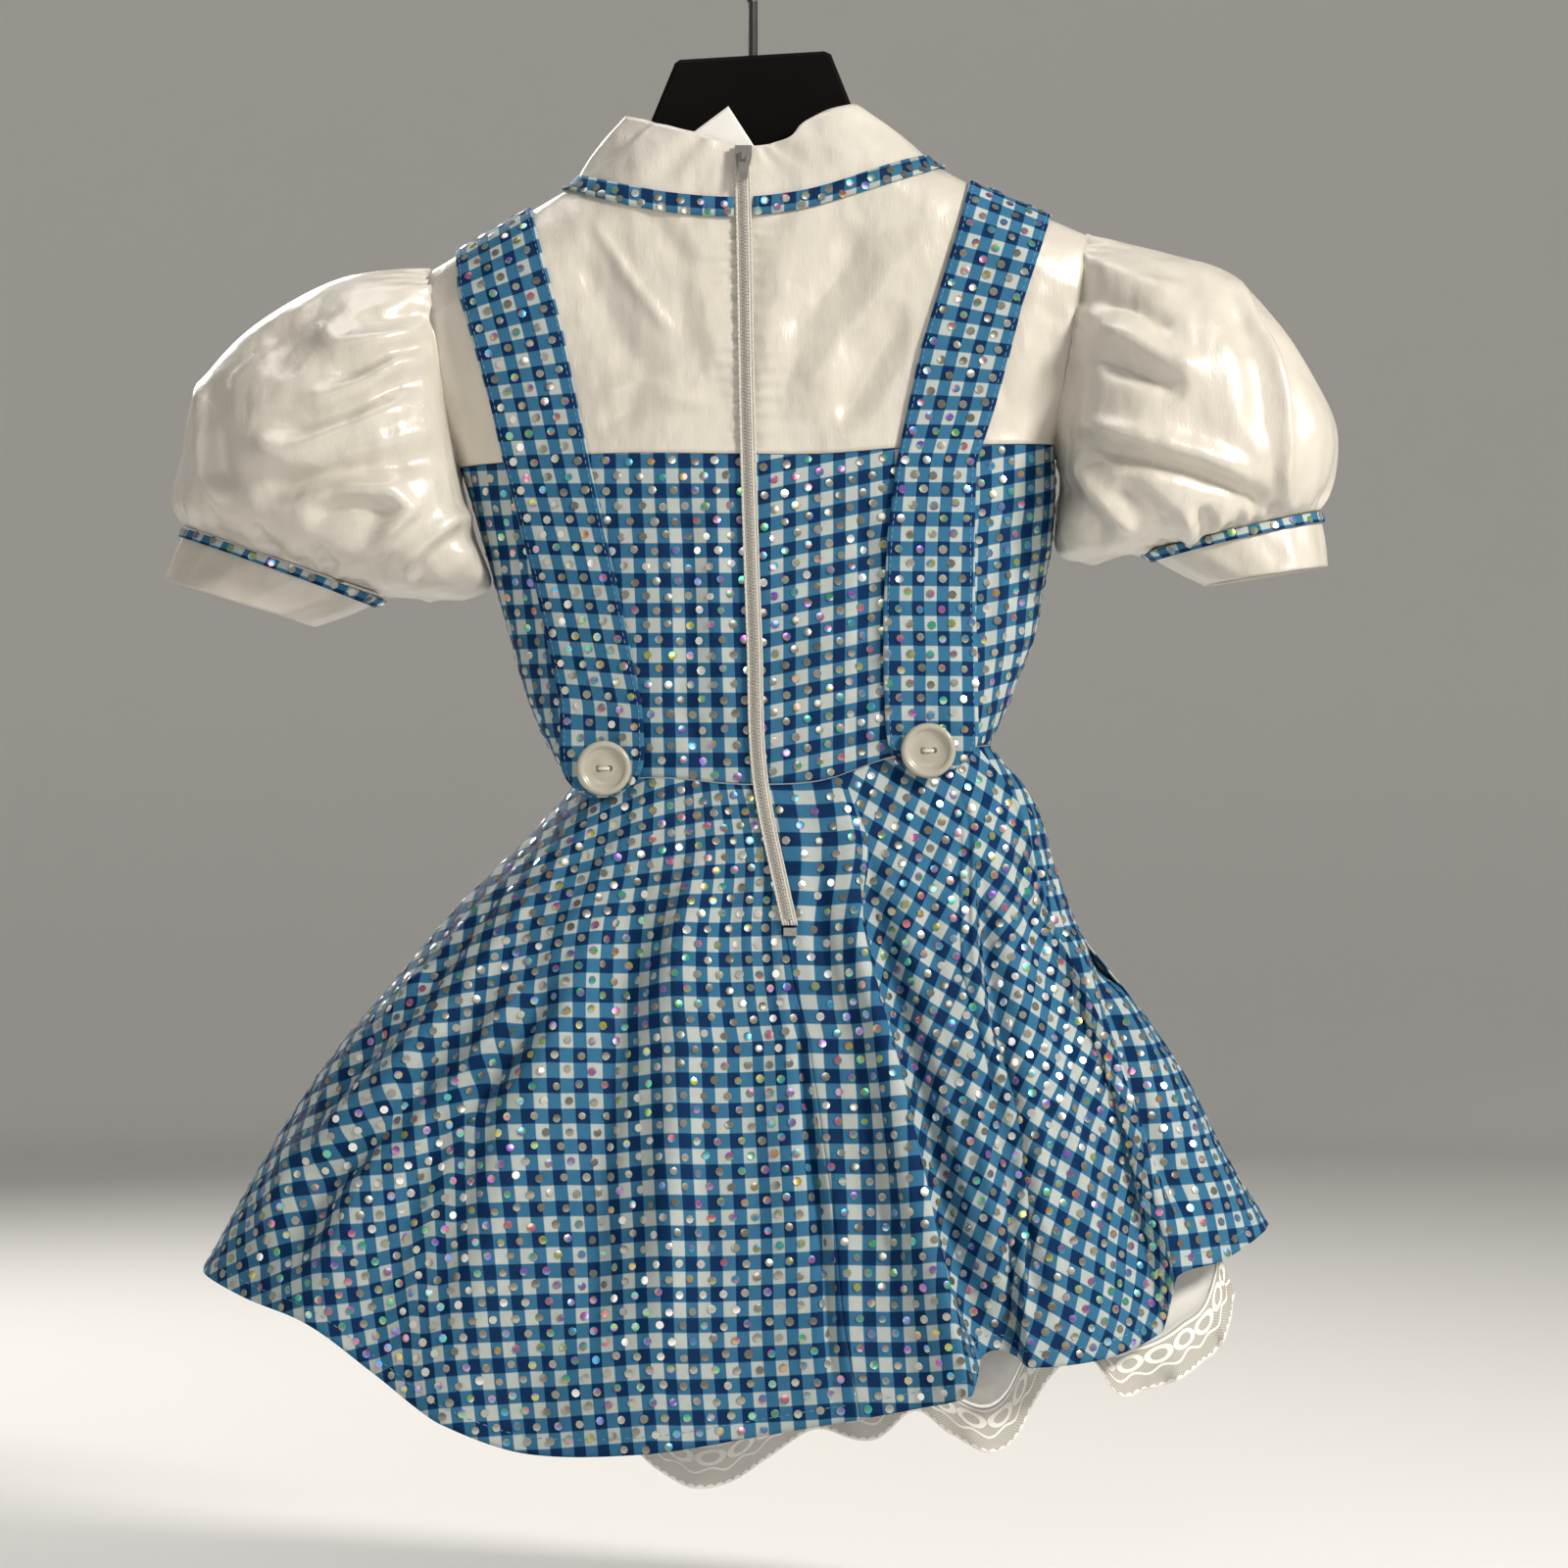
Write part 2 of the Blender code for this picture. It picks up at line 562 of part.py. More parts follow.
CUFF_LEFT = table(
    "top_x top_z low_x low_z depth",
    (-260.4, -292.4, -169.2, -324.2, 29),
    (-265, -303, -184, -331, 30),
    (-270, -315, -201, -337, 30),
)
CUFF_RIGHT = table(
    "top_x top_z low_x low_z depth",
    (260.3, -284.8, 179.5, -302.9, 29),
    (262.5, -297, 193, -311, 30),
    (264, -309, 207, -318, 30),
)
SLEEVE_TURNS = 36
SLEEVE_RUNS = np.array([0, 0.06, 0.15, 0.27, 0.41, 0.55, 0.70, 0.84, 0.94, 1.0])[:, None]
CUFF_TURNS = 24


def tube_points(rows, turn, run):
    """Sections of a sleeve or cuff: half a turn from the upper outline, round the back, to the lower one."""
    knots = np.linspace(0, 1, len(rows))
    top_x, top_z, low_x, low_z, depth = [curve(knots, column(rows, name), run) for name in rows[0]._fields]
    swing = np.cos(turn * 2 * math.pi)
    x = (top_x + low_x) / 2 + (top_x - low_x) / 2 * swing
    z = (top_z + low_z) / 2 + (top_z - low_z) / 2 * swing
    y = -depth * np.sin(turn * 2 * math.pi)
    return np.stack([x, y, z], axis=-1)


def sleeve_lift(turn, run):
    """Gathers at the armhole's upper half and at the cuff, and the soft folds between them."""
    near_top = np.clip(0.5 + np.cos(turn * 2 * math.pi), 0, 1)
    fade = np.exp(-run / 0.16) * near_top + 0.8 * np.exp(-(1 - run) / 0.10)
    lift = GATHER_HEIGHT * np.cos(turn * 2 * math.pi * GATHER_WAVES) * fade
    for fold in SLEEVE_FOLDS:
        part = (run - fold.run_start) / (fold.run_end - fold.run_start)
        line = lerp(fold.turn_start, fold.turn_end, part)
        window = np.clip(np.minimum(part, 1 - part) * 4, 0, 1)
        lift = lift + fold.height * np.exp(-((turn - line) / fold.width) ** 2) * window
    return lift * np.clip(run * 14, 0, 1) * np.clip((1 - run) * 14, 0, 1)


def clear_of_torso(grid, hand):
    """Keeps a sleeve's points just outside the armhole's edge and the bodice's side seam."""
    edge = ARMHOLE_LEFT if hand < 0 else ARMHOLE_RIGHT
    z = grid[..., 2]
    arm = read(edge, "z", "x", z) + hand * SEAM_GAP
    side = read(TORSO, "z", "left" if hand < 0 else "right", z) + hand * 0.6
    limit = np.where(z > edge[0].z, arm, hand * np.maximum(hand * arm, hand * side))
    limit = np.where(z > edge[0].z, arm, np.where(z < edge[0].z - 4, side, limit))
    grid[..., 0] = hand * np.maximum(hand * grid[..., 0], hand * limit)
    return grid


def sleeve_grid(rows, hand):
    turn = np.arange(SLEEVE_TURNS)[None, :] / SLEEVE_TURNS
    turn, run = np.broadcast_arrays(turn, SLEEVE_RUNS)
    grid = tube_points(rows, turn, run)
    edge = ARMHOLE_LEFT if hand < 0 else ARMHOLE_RIGHT
    ring_z = grid[0, :, 2]
    ring_x = read(edge, "z", "x", ring_z)
    front = grid[0, :, 1] > 0
    least = 0.5 * np.abs(grid[0, :, 1])
    behind, before = [np.maximum(torso_depth(ring_x, ring_z, side), least) for side in (-1, 1)]
    ring_y = np.where(front, before, -behind)
    grid[0, :, 0] = ring_x + hand * SEAM_GAP
    grid[0, :, 1] = ring_y
    centre = grid.mean(axis=1, keepdims=True)
    normal = grid_normals(grid, True, grid - centre)
    return grid + normal * sleeve_lift(turn, run)[..., None]


def tube_wall(name, grid, thick, kind, hand=0):
    """A tube of cloth round a sleeve's or cuff's own middle line."""
    normal = grid_normals(grid, True, grid - grid.mean(axis=1, keepdims=True))
    outer, inner = grid, grid - normal * thick
    if hand:
        inner = clear_of_torso(inner, hand)
        outer = clear_of_torso(outer, hand)
    wall(name, outer, inner, kind, around=True)


def build_sleeves():
    for hand, word, rows, cuff in ((-1, "left", SLEEVE_LEFT, CUFF_LEFT), (1, "right", SLEEVE_RIGHT, CUFF_RIGHT)):
        tube_wall("sleeve_" + word, sleeve_grid(rows, hand), SATIN, "satin", hand)
        turn = np.arange(CUFF_TURNS)[None, :] / CUFF_TURNS
        turn, run = np.broadcast_arrays(turn, np.linspace(0, 1, 3)[:, None])
        grid = tube_points(cuff, turn, run)
        tube_wall("cuff_" + word, grid, SATIN, "satin")
        band = np.broadcast_to(np.array([-0.02, 0.17])[:, None], (2, CUFF_TURNS))
        start = tube_points(cuff, turn[:2], np.zeros((2, CUFF_TURNS)))
        ahead = (tube_points(cuff, turn[:2], np.full((2, CUFF_TURNS), 0.17)) - start) / 0.17
        strip = start + ahead * band[..., None]
        normal = grid_normals(strip, True, strip - strip.mean(axis=1, keepdims=True))
        strip = strip + normal * TRIM_LIFT
        wall("cuff_trim_" + word, strip + normal * TRIM, strip, "gingham", around=True)


# Collar halves: the free upper edge, from the centre back round the side to the centre front
COLLAR_LEFT = table(
    "top_x top_z",
    (-7, -118), (-28, -112), (-46, -107), (-59.5, -104), (-53, -127), (-39, -147), (-1.2, -158),
)
COLLAR_RIGHT = table(
    "top_x top_z",
    (-1, -119), (13, -116), (33, -102), (51, -98), (46, -118), (33, -145), (1.2, -158),
)
COLLAR_ROLL = 1.6
COLLAR_LEAN = 0.80
COLLAR_THICK = 1.32
NECK_MIDDLE = -147.0


def neck_stations(hand, columns):
    """Places on the neck seam from the centre back, round the side, to the centre front."""
    reach = np.sin(np.linspace(0, 1, columns + 1) * math.pi / 2)
    end = NECK_BACK[0].x if hand < 0 else NECK_BACK[-1].x
    back_top = lerp(back_x(np.array(NECK_MIDDLE), hand), end, reach)
    front_top = lerp(hand * 1.0, end, reach)[:-1][::-1]
    x = np.concatenate([back_top, front_top])
    z = np.concatenate([read(NECK_BACK, "x", "z", back_top), read(NECK_FRONT, "x", "z", front_top)])
    side = np.concatenate([-np.ones(columns), [0], np.ones(columns)])
    return x, z, side


def neck_edge(x, z, side):
    """The neck seam's places on the torso's cloth."""
    behind, before = on_torso(x, z, -1, 0 * x), on_torso(x, z, 1, 0 * x)
    edge = np.where(side[:, None] < 0, behind, before)
    edge[side == 0, 1] = 0.0
    return edge


def collar_grid(rows, hand, up, columns):
    """The collar's outer cloth: the neck seam, the free edge from its table, and a slight roll between."""
    x, z, side = neck_stations(hand, columns)
    low = neck_edge(x, z, side)
    half = np.linspace(0, 0.5, columns + 1)
    around = np.concatenate([half, 1 - half[:-1][::-1]])
    knots = np.linspace(0, 1, len(rows))
    top_x, top_z = curve(knots, column(rows, "top_x"), around), curve(knots, column(rows, "top_z"), around)
    top = np.stack([top_x, low[:, 1] * COLLAR_LEAN, top_z], axis=-1)
    away = low * np.array([1.0, 1.0, 0.0])
    away /= np.linalg.norm(away, axis=-1, keepdims=True)
    low = low + np.array([0.0, 0.0, SEAM_GAP])
    up = up[:, None, None]
    return lerp(low, top, up) + away * COLLAR_ROLL * np.sin(up * math.pi), away


# Collar trim: how far it reaches below the seam, how many columns bend over the shoulder line,
# how much higher it lies there, how far up the collar it goes, and where it stops beside the zip
TRIM_COLUMNS = 12
TRIM_REACH = 4.6
TRIM_BEND = 2.2
TRIM_CREST = 0.7
TRIM_OVER_SEAM = 0.8
TRIM_OVER_COLLAR = 0.3
TRIM_UP = 0.14
ZIP_HALF = 4.4


def trim_lower_edge(hand, out):
    """Places on the blouse a little way below the neck seam, down the shoulder line at the side."""
    x, z, side = neck_stations(hand, TRIM_COLUMNS)
    near = np.exp(-((np.arange(len(x)) - TRIM_COLUMNS) / TRIM_BEND) ** 2)
    slope = (read(SHOULDER, "x", "z", x + hand * TRIM_REACH) - read(SHOULDER, "x", "z", x)) / TRIM_REACH
    along = TRIM_REACH * 0.9
    move_x = hand * along * near
    move_z = lerp(-TRIM_REACH, slope * along, near)
    out = out + TRIM_CREST * near
    behind = on_torso(x + move_x, z + move_z, -1, out)
    before = on_torso(x + move_x, z + move_z, 1, out)
    spots = np.where(side[:, None] < 0, behind, before)
    middle = side == 0
    spots[middle, 1] = 0.0
    spots[middle, 2] = read(SHOULDER, "x", "z", spots[middle, 0]) + out[middle] + SEAM_GAP
    return spots


def cut_at_zip(strip, hand):
    """Moves a strip's first column along the strip to the zip's edge."""
    first, second = strip[:, 0], strip[:, 1]
    wanted = read(CENTRE_BACK, "z", "x", np.array(NECK_MIDDLE)) + hand * ZIP_HALF
    part = (wanted - first[:, :1]) / (second[:, :1] - first[:, :1])
    strip[:, 0] = lerp(first, second, part)
    return strip


def build_collar():
    for hand, word, rows in ((-1, "left", COLLAR_LEFT), (1, "right", COLLAR_RIGHT)):
        outer, away = collar_grid(rows, hand, np.linspace(0, 1, 4), NECK_COLUMNS)
        wall("collar_" + word, outer, outer - away * COLLAR_THICK, "satin")
        higher, away = collar_grid(rows, hand, np.array([0.0, TRIM_UP]), TRIM_COLUMNS)
        layers = []
        for out in (TRIM_LIFT, TRIM_LIFT + TRIM):
            middle = higher[0] + away * (out + TRIM_OVER_SEAM)
            upper = higher[1] + away * (out + TRIM_OVER_COLLAR)
            layers.append(np.stack([trim_lower_edge(hand, out), middle, upper]))
        strip, cover = [cut_at_zip(layer, hand) for layer in layers]
        wall("collar_trim_" + word, cover, strip, "gingham")


# Straps seen from the back, row by row from the shoulder to the waist: the two edges
STRAP_LEFT = table(
    "left_x left_z right_x right_z",
    (-133, -187, -94, -172),
    (-126, -210, -86, -202),
    (-118, -238, -79, -236),
    (-112, -264, -73, -264),
    (-104, -294, -66, -296),
    (-97, -321, -60, -323),
    (-91, -348, -54, -351),
    (-86, -372, -49, -376),
    (-85, -396, -48, -396),
)
STRAP_RIGHT = table(
    "left_x left_z right_x right_z",
    (93, -158, 130, -168),
    (85, -184, 122, -192),
    (76, -212, 116, -216),
    (70, -240, 109, -240),
    (65, -264, 101, -264),
    (61, -296, 100, -296),
    (59, -330, 100, -330),
    (59, -358, 101, -358),
    (60, -385, 101, -385),
)
STRAP_END_RADIUS = 19.0
STRAP_FRONT_END = -270.0
STRAP_FRONT_SHIFT = 12.0
CREST_DROPS = (0.8, 0.45, 0.2, 0.06)
STRAP_FRONT = (0.12, 0.3, 0.48, 0.66, 0.84, 1.0)
# Where the strap's end starts to lie flat across, over what height, and how far it stands off the waist
STRAP_FLAT_START = -352.0
STRAP_FLAT_REACH = 40.0
STRAP_FLAT_SHARE = 0.9
STRAP_PROUD_START = -380.0
STRAP_PROUD_REACH = 30.0
STRAP_PROUD = 5.0


def strap_rows(rows, hand):
    """Left and right edge places of each row, with the side they lie on, from the round end up and over."""
    crest = ((-135, -101) if hand < 0 else (99, 136))
    crest_z = [float(read(SHOULDER, "x", "z", np.array(float(x)))) for x in crest]
    low, high = rows[-1], rows[0]
    middle = (low.left_x + low.right_x) / 2
    half = (low.right_x - low.left_x) / 2
    listed = []
    for step in (0.2, 0.5, 0.8):
        reach = half * math.sin(step * math.pi / 2)
        down = STRAP_END_RADIUS * math.cos(step * math.pi / 2)
        listed.append((middle - reach, low.left_z - down, middle + reach, low.right_z - down, -1))
    for row in rows[::-1]:
        listed.append((row.left_x, row.left_z, row.right_x, row.right_z, -1))
    for drop in CREST_DROPS:
        ends = [lerp(a, b, drop) for a, b in ((crest[0], high.left_x), (crest_z[0], high.left_z))]
        ends += [lerp(a, b, drop) for a, b in ((crest[1], high.right_x), (crest_z[1], high.right_z))]
        listed.append((*ends, -1))
    listed.append((crest[0], crest_z[0], crest[1], crest_z[1], 0))
    depth = [crest_z[0] - high.left_z, crest_z[1] - high.right_z]
    for drop in CREST_DROPS[::-1]:
        listed.append((crest[0], crest_z[0] - depth[0] * drop, crest[1], crest_z[1] - depth[1] * drop, 1))
    shift = STRAP_FRONT_SHIFT * hand
    for part in STRAP_FRONT:
        left_z = lerp(crest_z[0] - depth[0], STRAP_FRONT_END, part)
        right_z = lerp(crest_z[1] - depth[1], STRAP_FRONT_END, part)
        listed.append((crest[0] - shift * part, left_z, crest[1] - shift * part, right_z, 1))
    return listed


def strap_grid(rows, hand, out):
    """The strap's cloth over the torso; its lower end lies flat across the waist, towards the back."""
    grid = []
    across = np.linspace(0, 1, 4)
    for left_x, left_z, right_x, right_z, side in strap_rows(rows, hand):
        x, z = lerp(left_x, right_x, across), lerp(left_z, right_z, across)
        if not side:
            grid.append(np.stack([x, 0 * x, z + out], axis=-1))
            continue
        spots = on_torso(x, z, side, np.full(x.shape, out))
        if side < 0:
            flat = np.clip((STRAP_FLAT_START - z) / STRAP_FLAT_REACH, 0, 1) * STRAP_FLAT_SHARE
            middle = on_torso(np.mean(x), np.mean(z), -1, np.array(out))[1]
            proud = STRAP_PROUD * np.clip((STRAP_PROUD_START - z) / STRAP_PROUD_REACH, 0, 1)
            spots[:, 1] = np.minimum(spots[:, 1], lerp(spots[:, 1], middle, flat)) - proud
        grid.append(spots)
    return np.array(grid)


def build_straps():
    for hand, word, rows in ((-1, "left", STRAP_LEFT), (1, "right", STRAP_RIGHT)):
        outer = strap_grid(rows, hand, STRAP_LIFT + GINGHAM)
        wall("strap_" + word, outer, strap_grid(rows, hand, STRAP_LIFT), "gingham")


# Buttons: the turned profile from the sunk middle over the rim to the back's edge
BUTTON_PROFILE = table(
    "radius height",
    (8.2, 1.7), (9.6, 2.8), (11.2, 3.2), (BUTTON_RADIUS, 1.6), (11.4, 0.0),
)
BUTTON_SIDES = 20
BUTTON_PLACES = table("x z", (-66.6, -402), (79.2, -394))
THREAD_HOLE = 1.1
THREAD_HOLE_STEP = 2.6


def build_buttons():
    for word, place, hand in (("left", BUTTON_PLACES[0], -1), ("right", BUTTON_PLACES[1], 1)):
        strap = strap_grid(STRAP_LEFT if hand < 0 else STRAP_RIGHT, hand, STRAP_LIFT + GINGHAM)
        fine = np.linspace(0, 1, 7)[:, None, None]
        strap = np.concatenate([lerp(strap[:-1], strap[1:], part) for part in fine])
        strap = np.concatenate([lerp(strap[:, :-1], strap[:, 1:], part) for part in fine])
        near = np.hypot(strap[..., 0] - place.x, strap[..., 2] - place.z) < BUTTON_RADIUS + 0.8
        seat = np.array([place.x, strap[near][:, 1].min() - SEAM_GAP, place.z])
        out = np.array([0.0, -1.0, 0.0])
        rings = []
        for row in BUTTON_PROFILE:
            angle = np.arange(BUTTON_SIDES) * 2 * math.pi / BUTTON_SIDES
            ring = np.stack([np.cos(angle) * row.radius, 0 * angle, np.sin(angle) * row.radius], axis=-1)
            rings.append(ring + out * row.height)
        points = np.concatenate(rings)
        faces = []
        for ring in range(len(rings) - 1):
            for step in range(BUTTON_SIDES):
                nxt = (step + 1) % BUTTON_SIDES
                a, b = ring * BUTTON_SIDES + step, ring * BUTTON_SIDES + nxt
                faces.append((a, b, b + BUTTON_SIDES, a + BUTTON_SIDES))
        faces.append(tuple(range(BUTTON_SIDES)))
        faces.append(tuple(range((len(rings) - 1) * BUTTON_SIDES, len(rings) * BUTTON_SIDES)))
        made = add_object("button_" + word, points + seat, faces, "button")
        for step in (-THREAD_HOLE_STEP, THREAD_HOLE_STEP):
            bpy.ops.mesh.primitive_cylinder_add(
                vertices=10, radius=THREAD_HOLE * MM, depth=12 * MM,
                location=tuple((seat + np.array([step, 0.0, 0.0])) * MM), rotation=(math.pi / 2, 0, 0),
            )
            cutter = bpy.context.object
            cutter.name = "thread_hole"
            cutter.hide_render = True
            cutter.display_type = "WIRE"
            cut = made.modifiers.new("thread_hole", "BOOLEAN")
            cut.operation = "DIFFERENCE"
            cut.object = cutter


# Zip: two tapes on the centre back, a slider with its bridge, a pull tab and a bottom stop
ZIP_TOP = -119.0
ZIP_END = -472.0
TAPE_WIDTH = 3.6
TAPE_LIFT = 0.9
SLIDER_PLACE = (-4.0, -125.0)
SLIDER_SIZE = (7.6, 11.0, 2.2)
BRIDGE_WIDTH = 1.6
BRIDGE_OUT = 2.6
BRIDGE_SUNK = 0.6
BRIDGE_HEIGHT = 4.6
BRIDGE_WINDOW = (4.0, 1.7, 2.4)
PIN_OUT = 0.8
TAB_THICK = 0.9
STOP_PLACE = (17.2, -475.0)
STOP_SIZE = (6.0, 1.5, 3.6)


def centre_point(z, x, out):
    """A place over the centre back, on collar, torso or skirt, whichever carries the zip at that height."""
    z = np.asarray(z, float)
    x = np.asarray(x, float)
    torso = torso_depth(x, np.clip(z, WAIST[2].z, -150), -1)
    lean = np.clip((z + 150) / 32, 0, 1)
    collar = torso * lerp(1, COLLAR_LEAN, lean) + COLLAR_ROLL * np.sin(lean * math.pi)
    fall = np.clip((z - WAIST[2].z) / (-690 - WAIST[2].z), 0, 1)
    station = np.full(fall.shape, float(CENTRE_STATION))
    skirt = -skirt_points(SKIRT_BACK, -1, station, fall)[..., 1]
    deep = np.where(z > -150, collar, np.where(z < WAIST[2].z, skirt, torso))
    return np.stack([x, -(deep + out), z], axis=-1)


def build_zip():
    z = np.concatenate([np.linspace(ZIP_TOP, -150, 5), np.linspace(-165, -405, 13), np.linspace(-412, ZIP_END, 6)])
    middle = read(CENTRE_BACK, "z", "x", z)
    for hand, word in ((-1, "left"), (1, "right")):
        x = middle[:, None] + hand * np.array([0.15, TAPE_WIDTH])[None, :]
        height = np.broadcast_to(z[:, None], x.shape)
        wall("zip_tape_" + word, centre_point(height, x, TAPE_LIFT + 1.0), centre_point(height, x, TAPE_LIFT), "zip")
    seat = centre_point(np.array(SLIDER_PLACE[1]), np.array(SLIDER_PLACE[0]), TAPE_LIFT + 1.6)
    reach = SLIDER_SIZE[1] / 2
    over, under = [centre_point(seat[2] + step, seat[0], 0.0) for step in (reach, -reach)]
    lean = math.atan2(under[1] - over[1], over[2] - under[2])
    build_slider(seat, lean)
    build_pull_tab(seat, lean)
    stop = centre_point(np.array(STOP_PLACE[1]), np.array(STOP_PLACE[0]), 0.5 + STOP_SIZE[1] / 2)
    box("zip_bottom_stop", stop, STOP_SIZE, "metal")


def leaned(points, seat, lean):
    """Points turned about the seat's own crosswise line, to lie along the cloth there."""
    offset = np.asarray(points, float) - seat
    cosine, sine = math.cos(lean), math.sin(lean)
    y = offset[:, 1] * cosine - offset[:, 2] * sine
    z = offset[:, 1] * sine + offset[:, 2] * cosine
    return np.stack([offset[:, 0], y, z], axis=-1) + seat


def box_faces():
    return [(0, 1, 3, 2), (4, 6, 7, 5), (0, 4, 5, 1), (2, 3, 7, 6), (0, 2, 6, 4), (1, 5, 7, 3)]


def box(name, centre, size, kind, seat=None, lean=0.0):
    """A plain block by its middle and its size, turned about a seat if one is given."""
    signs = [(a, b, c) for a in (-0.5, 0.5) for b in (-0.5, 0.5) for c in (-0.5, 0.5)]
    points = [np.asarray(centre) + np.array(sign) * np.array(size) for sign in signs]
    if seat is not None:
        points = leaned(points, seat, lean)
    return add_object(name, points, box_faces(), kind, smooth=False)


def build_slider(seat, lean):
    """Slider plate, narrower at its lower end, with the bridge that carries the pull tab."""
    width, height, thick = SLIDER_SIZE
    outline = ((-0.5, 0.5), (0.5, 0.5), (0.5, 0.05), (0.34, -0.5), (-0.34, -0.5), (-0.5, 0.05))
    count = len(outline)
    points = [seat + np.array([a * width, 0.0, b * height]) for a, b in outline]
    points += [point - np.array([0.0, thick, 0.0]) for point in points]
    faces = [tuple(range(count)), tuple(range(count, 2 * count))]
    faces += [(i, (i + 1) % count, (i + 1) % count + count, i + count) for i in range(count)]
    plate = add_object("zip_slider", leaned(points, seat, lean), faces, "metal", smooth=False)
    face = seat - np.array([0.0, thick, 0.0])
    middle = face + np.array([0, (BRIDGE_SUNK - BRIDGE_OUT) / 2, 0])
    bridge = box("bridge", middle, (BRIDGE_WIDTH, BRIDGE_OUT + BRIDGE_SUNK, BRIDGE_HEIGHT), "metal", seat, lean)
    window = box("bridge_window", face - np.array([0, BRIDGE_WINDOW[1] / 2, 0]), BRIDGE_WINDOW, "metal", seat, lean)
    for made, name, tool, how in ((plate, "join", bridge, "UNION"), (plate, "window", window, "DIFFERENCE")):
        tool.hide_render = True
        tool.display_type = "WIRE"
        step = made.modifiers.new(name, "BOOLEAN")
        step.operation = how
        step.object = tool


def pull_tab_pin(seat):
    return seat - np.array([0.0, SLIDER_SIZE[2] + PIN_OUT, 0.0])


def build_pull_tab(seat, lean):
    """A flat tab with a window whose top bar turns under the slider's bridge."""
    pin = pull_tab_pin(seat)
    outer = ((-2.2, 0.45), (2.2, 0.45), (2.2, -5.0), (1.9, -11.0), (1.2, -12.2), (-1.2, -12.2), (-1.9, -11.0), (-2.2, -5.0))
    hole = ((-1.25, -0.45), (1.25, -0.45), (1.25, -3.3), (-1.25, -3.3))
    ring = ((-2.2, 0.45), (2.2, 0.45), (2.2, -4.4), (-2.2, -4.4))
    points = []
    for depth in (-TAB_THICK / 2, TAB_THICK / 2):
        points += [pin + np.array([x, depth, z]) for x, z in ring + hole]
        points += [pin + np.array([x, depth, z]) for x, z in outer[3:7]]
    size = len(ring) + len(hole) + 4
    faces = []
    for layer in (0, size):
        for i in range(4):
            nxt = (i + 1) % 4
            faces.append((layer + i, layer + nxt, layer + 4 + nxt, layer + 4 + i))
        faces.append((layer + 3, layer + 2, layer + 8, layer + 9, layer + 10, layer + 11))
    rim = [0, 1, 2, 8, 9, 10, 11, 3]
    for i, start in enumerate(rim):
        nxt = rim[(i + 1) % len(rim)]
        faces.append((start, nxt, nxt + size, start + size))
    for i in range(4):
        start, nxt = 4 + i, 4 + (i + 1) % 4
        faces.append((start, nxt, nxt + size, start + size))
    add_object("zip_pull_tab", leaned(points, seat, lean), faces, "metal", smooth=False)


# Blank label whose corner stands up at the neck, by three corners seen from the back
LABEL = table("x z", (-28, -113), (-11, -100), (3, -122))
LABEL_DEPTH = 19.6
LABEL_LEAN = 0.16
LABEL_THICK = 0.9
LABEL_LOW = -118.0


def build_label():
    corner, first, second = [np.array([row.x, row.z], float) for row in (LABEL[1], LABEL[0], LABEL[2])]
    grid = []
    for a in (0.0, 0.5, 1.0):
        for b in (0.0, 0.5, 1.0):
            x, z = corner + (first - corner) * a + (second - corner) * b
            grid.append((x, (z - LABEL_LOW) * LABEL_LEAN - LABEL_DEPTH, z))
    grid = np.array(grid).reshape(3, 3, 3)
    wall("neck_label", grid, grid + np.array([0.0, LABEL_THICK, 0.0]), "satin")


# Hanger: its outline seen from the back, clockwise from the top left corner of its broad neck
HANGER = table(
    "x z",
    (-35, -77), (33, -73), (36, -74.5), (45, -97), (57, -111.5), (70, -121), (84, -129), (100, -137.4),
    (125, -148.4), (138, -154.6), (141, -160), (134, -168), (100, -164), (50, -158), (0, -160),
    (-50, -168), (-100, -181), (-127, -185), (-134, -177), (-132, -169), (-117, -159), (-86, -140.4),
    (-72, -133), (-58, -121), (-47, -106),
)


def build_hanger():
    count = len(HANGER)
    points = [(row.x, y, row.z) for y in (-HANGER_HALF, HANGER_HALF) for row in HANGER]
    faces = [tuple(range(count)), tuple(range(count, 2 * count))]
    faces += [(i, (i + 1) % count, (i + 1) % count + count, i + count) for i in range(count)]
    made = add_object("hanger_body", points, faces, "hanger")
    edge = made.modifiers.new("round_edges", "BEVEL")
    edge.width = 1.6 * MM
    edge.segments = 1
    edge.limit_method = "ANGLE"
    edge.angle_limit = math.radians(60)
    turns = np.radians(np.linspace(-35, 200, 14))
    loop = np.stack([np.cos(turns) * HOOK_RADIUS, 0 * turns, np.sin(turns) * HOOK_RADIUS + WIRE_RADIUS - HOOK_RADIUS], axis=-1)
    neck = np.array([(-14.6, 0, -28.5), (-8.0, 0, -35.5), (-2.5, 0, -42.5), (0, 0, -50), (0, 0, -62), (0, 0, -74.7)])
    path = np.concatenate([loop, neck])
    sweep("hanger_hook", path, WIRE_RADIUS, 8, "hanger")


def sweep(name, path, radius, sides, kind):
    """A round wire along a path in the XZ plane, with flat ends."""
    along = np.gradient(path, axis=0)
    along /= np.linalg.norm(along, axis=-1, keepdims=True)
    flat = np.array([0.0, 1.0, 0.0])
    up = np.cross(along, flat)
    angle = np.arange(sides) * 2 * math.pi / sides
    rings = path[:, None] + radius * (np.cos(angle)[None, :, None] * flat + np.sin(angle)[None, :, None] * up[:, None])
    faces = []
    for ring in range(len(path) - 1):
        for step in range(sides):
            nxt = (step + 1) % sides
            a, b = ring * sides + step, ring * sides + nxt
            faces.append((a, b, b + sides, a + sides))
    faces += [tuple(range(sides)), tuple(range((len(path) - 1) * sides, len(path) * sides))]
    add_object(name, rings.reshape(-1, 3), faces, kind)


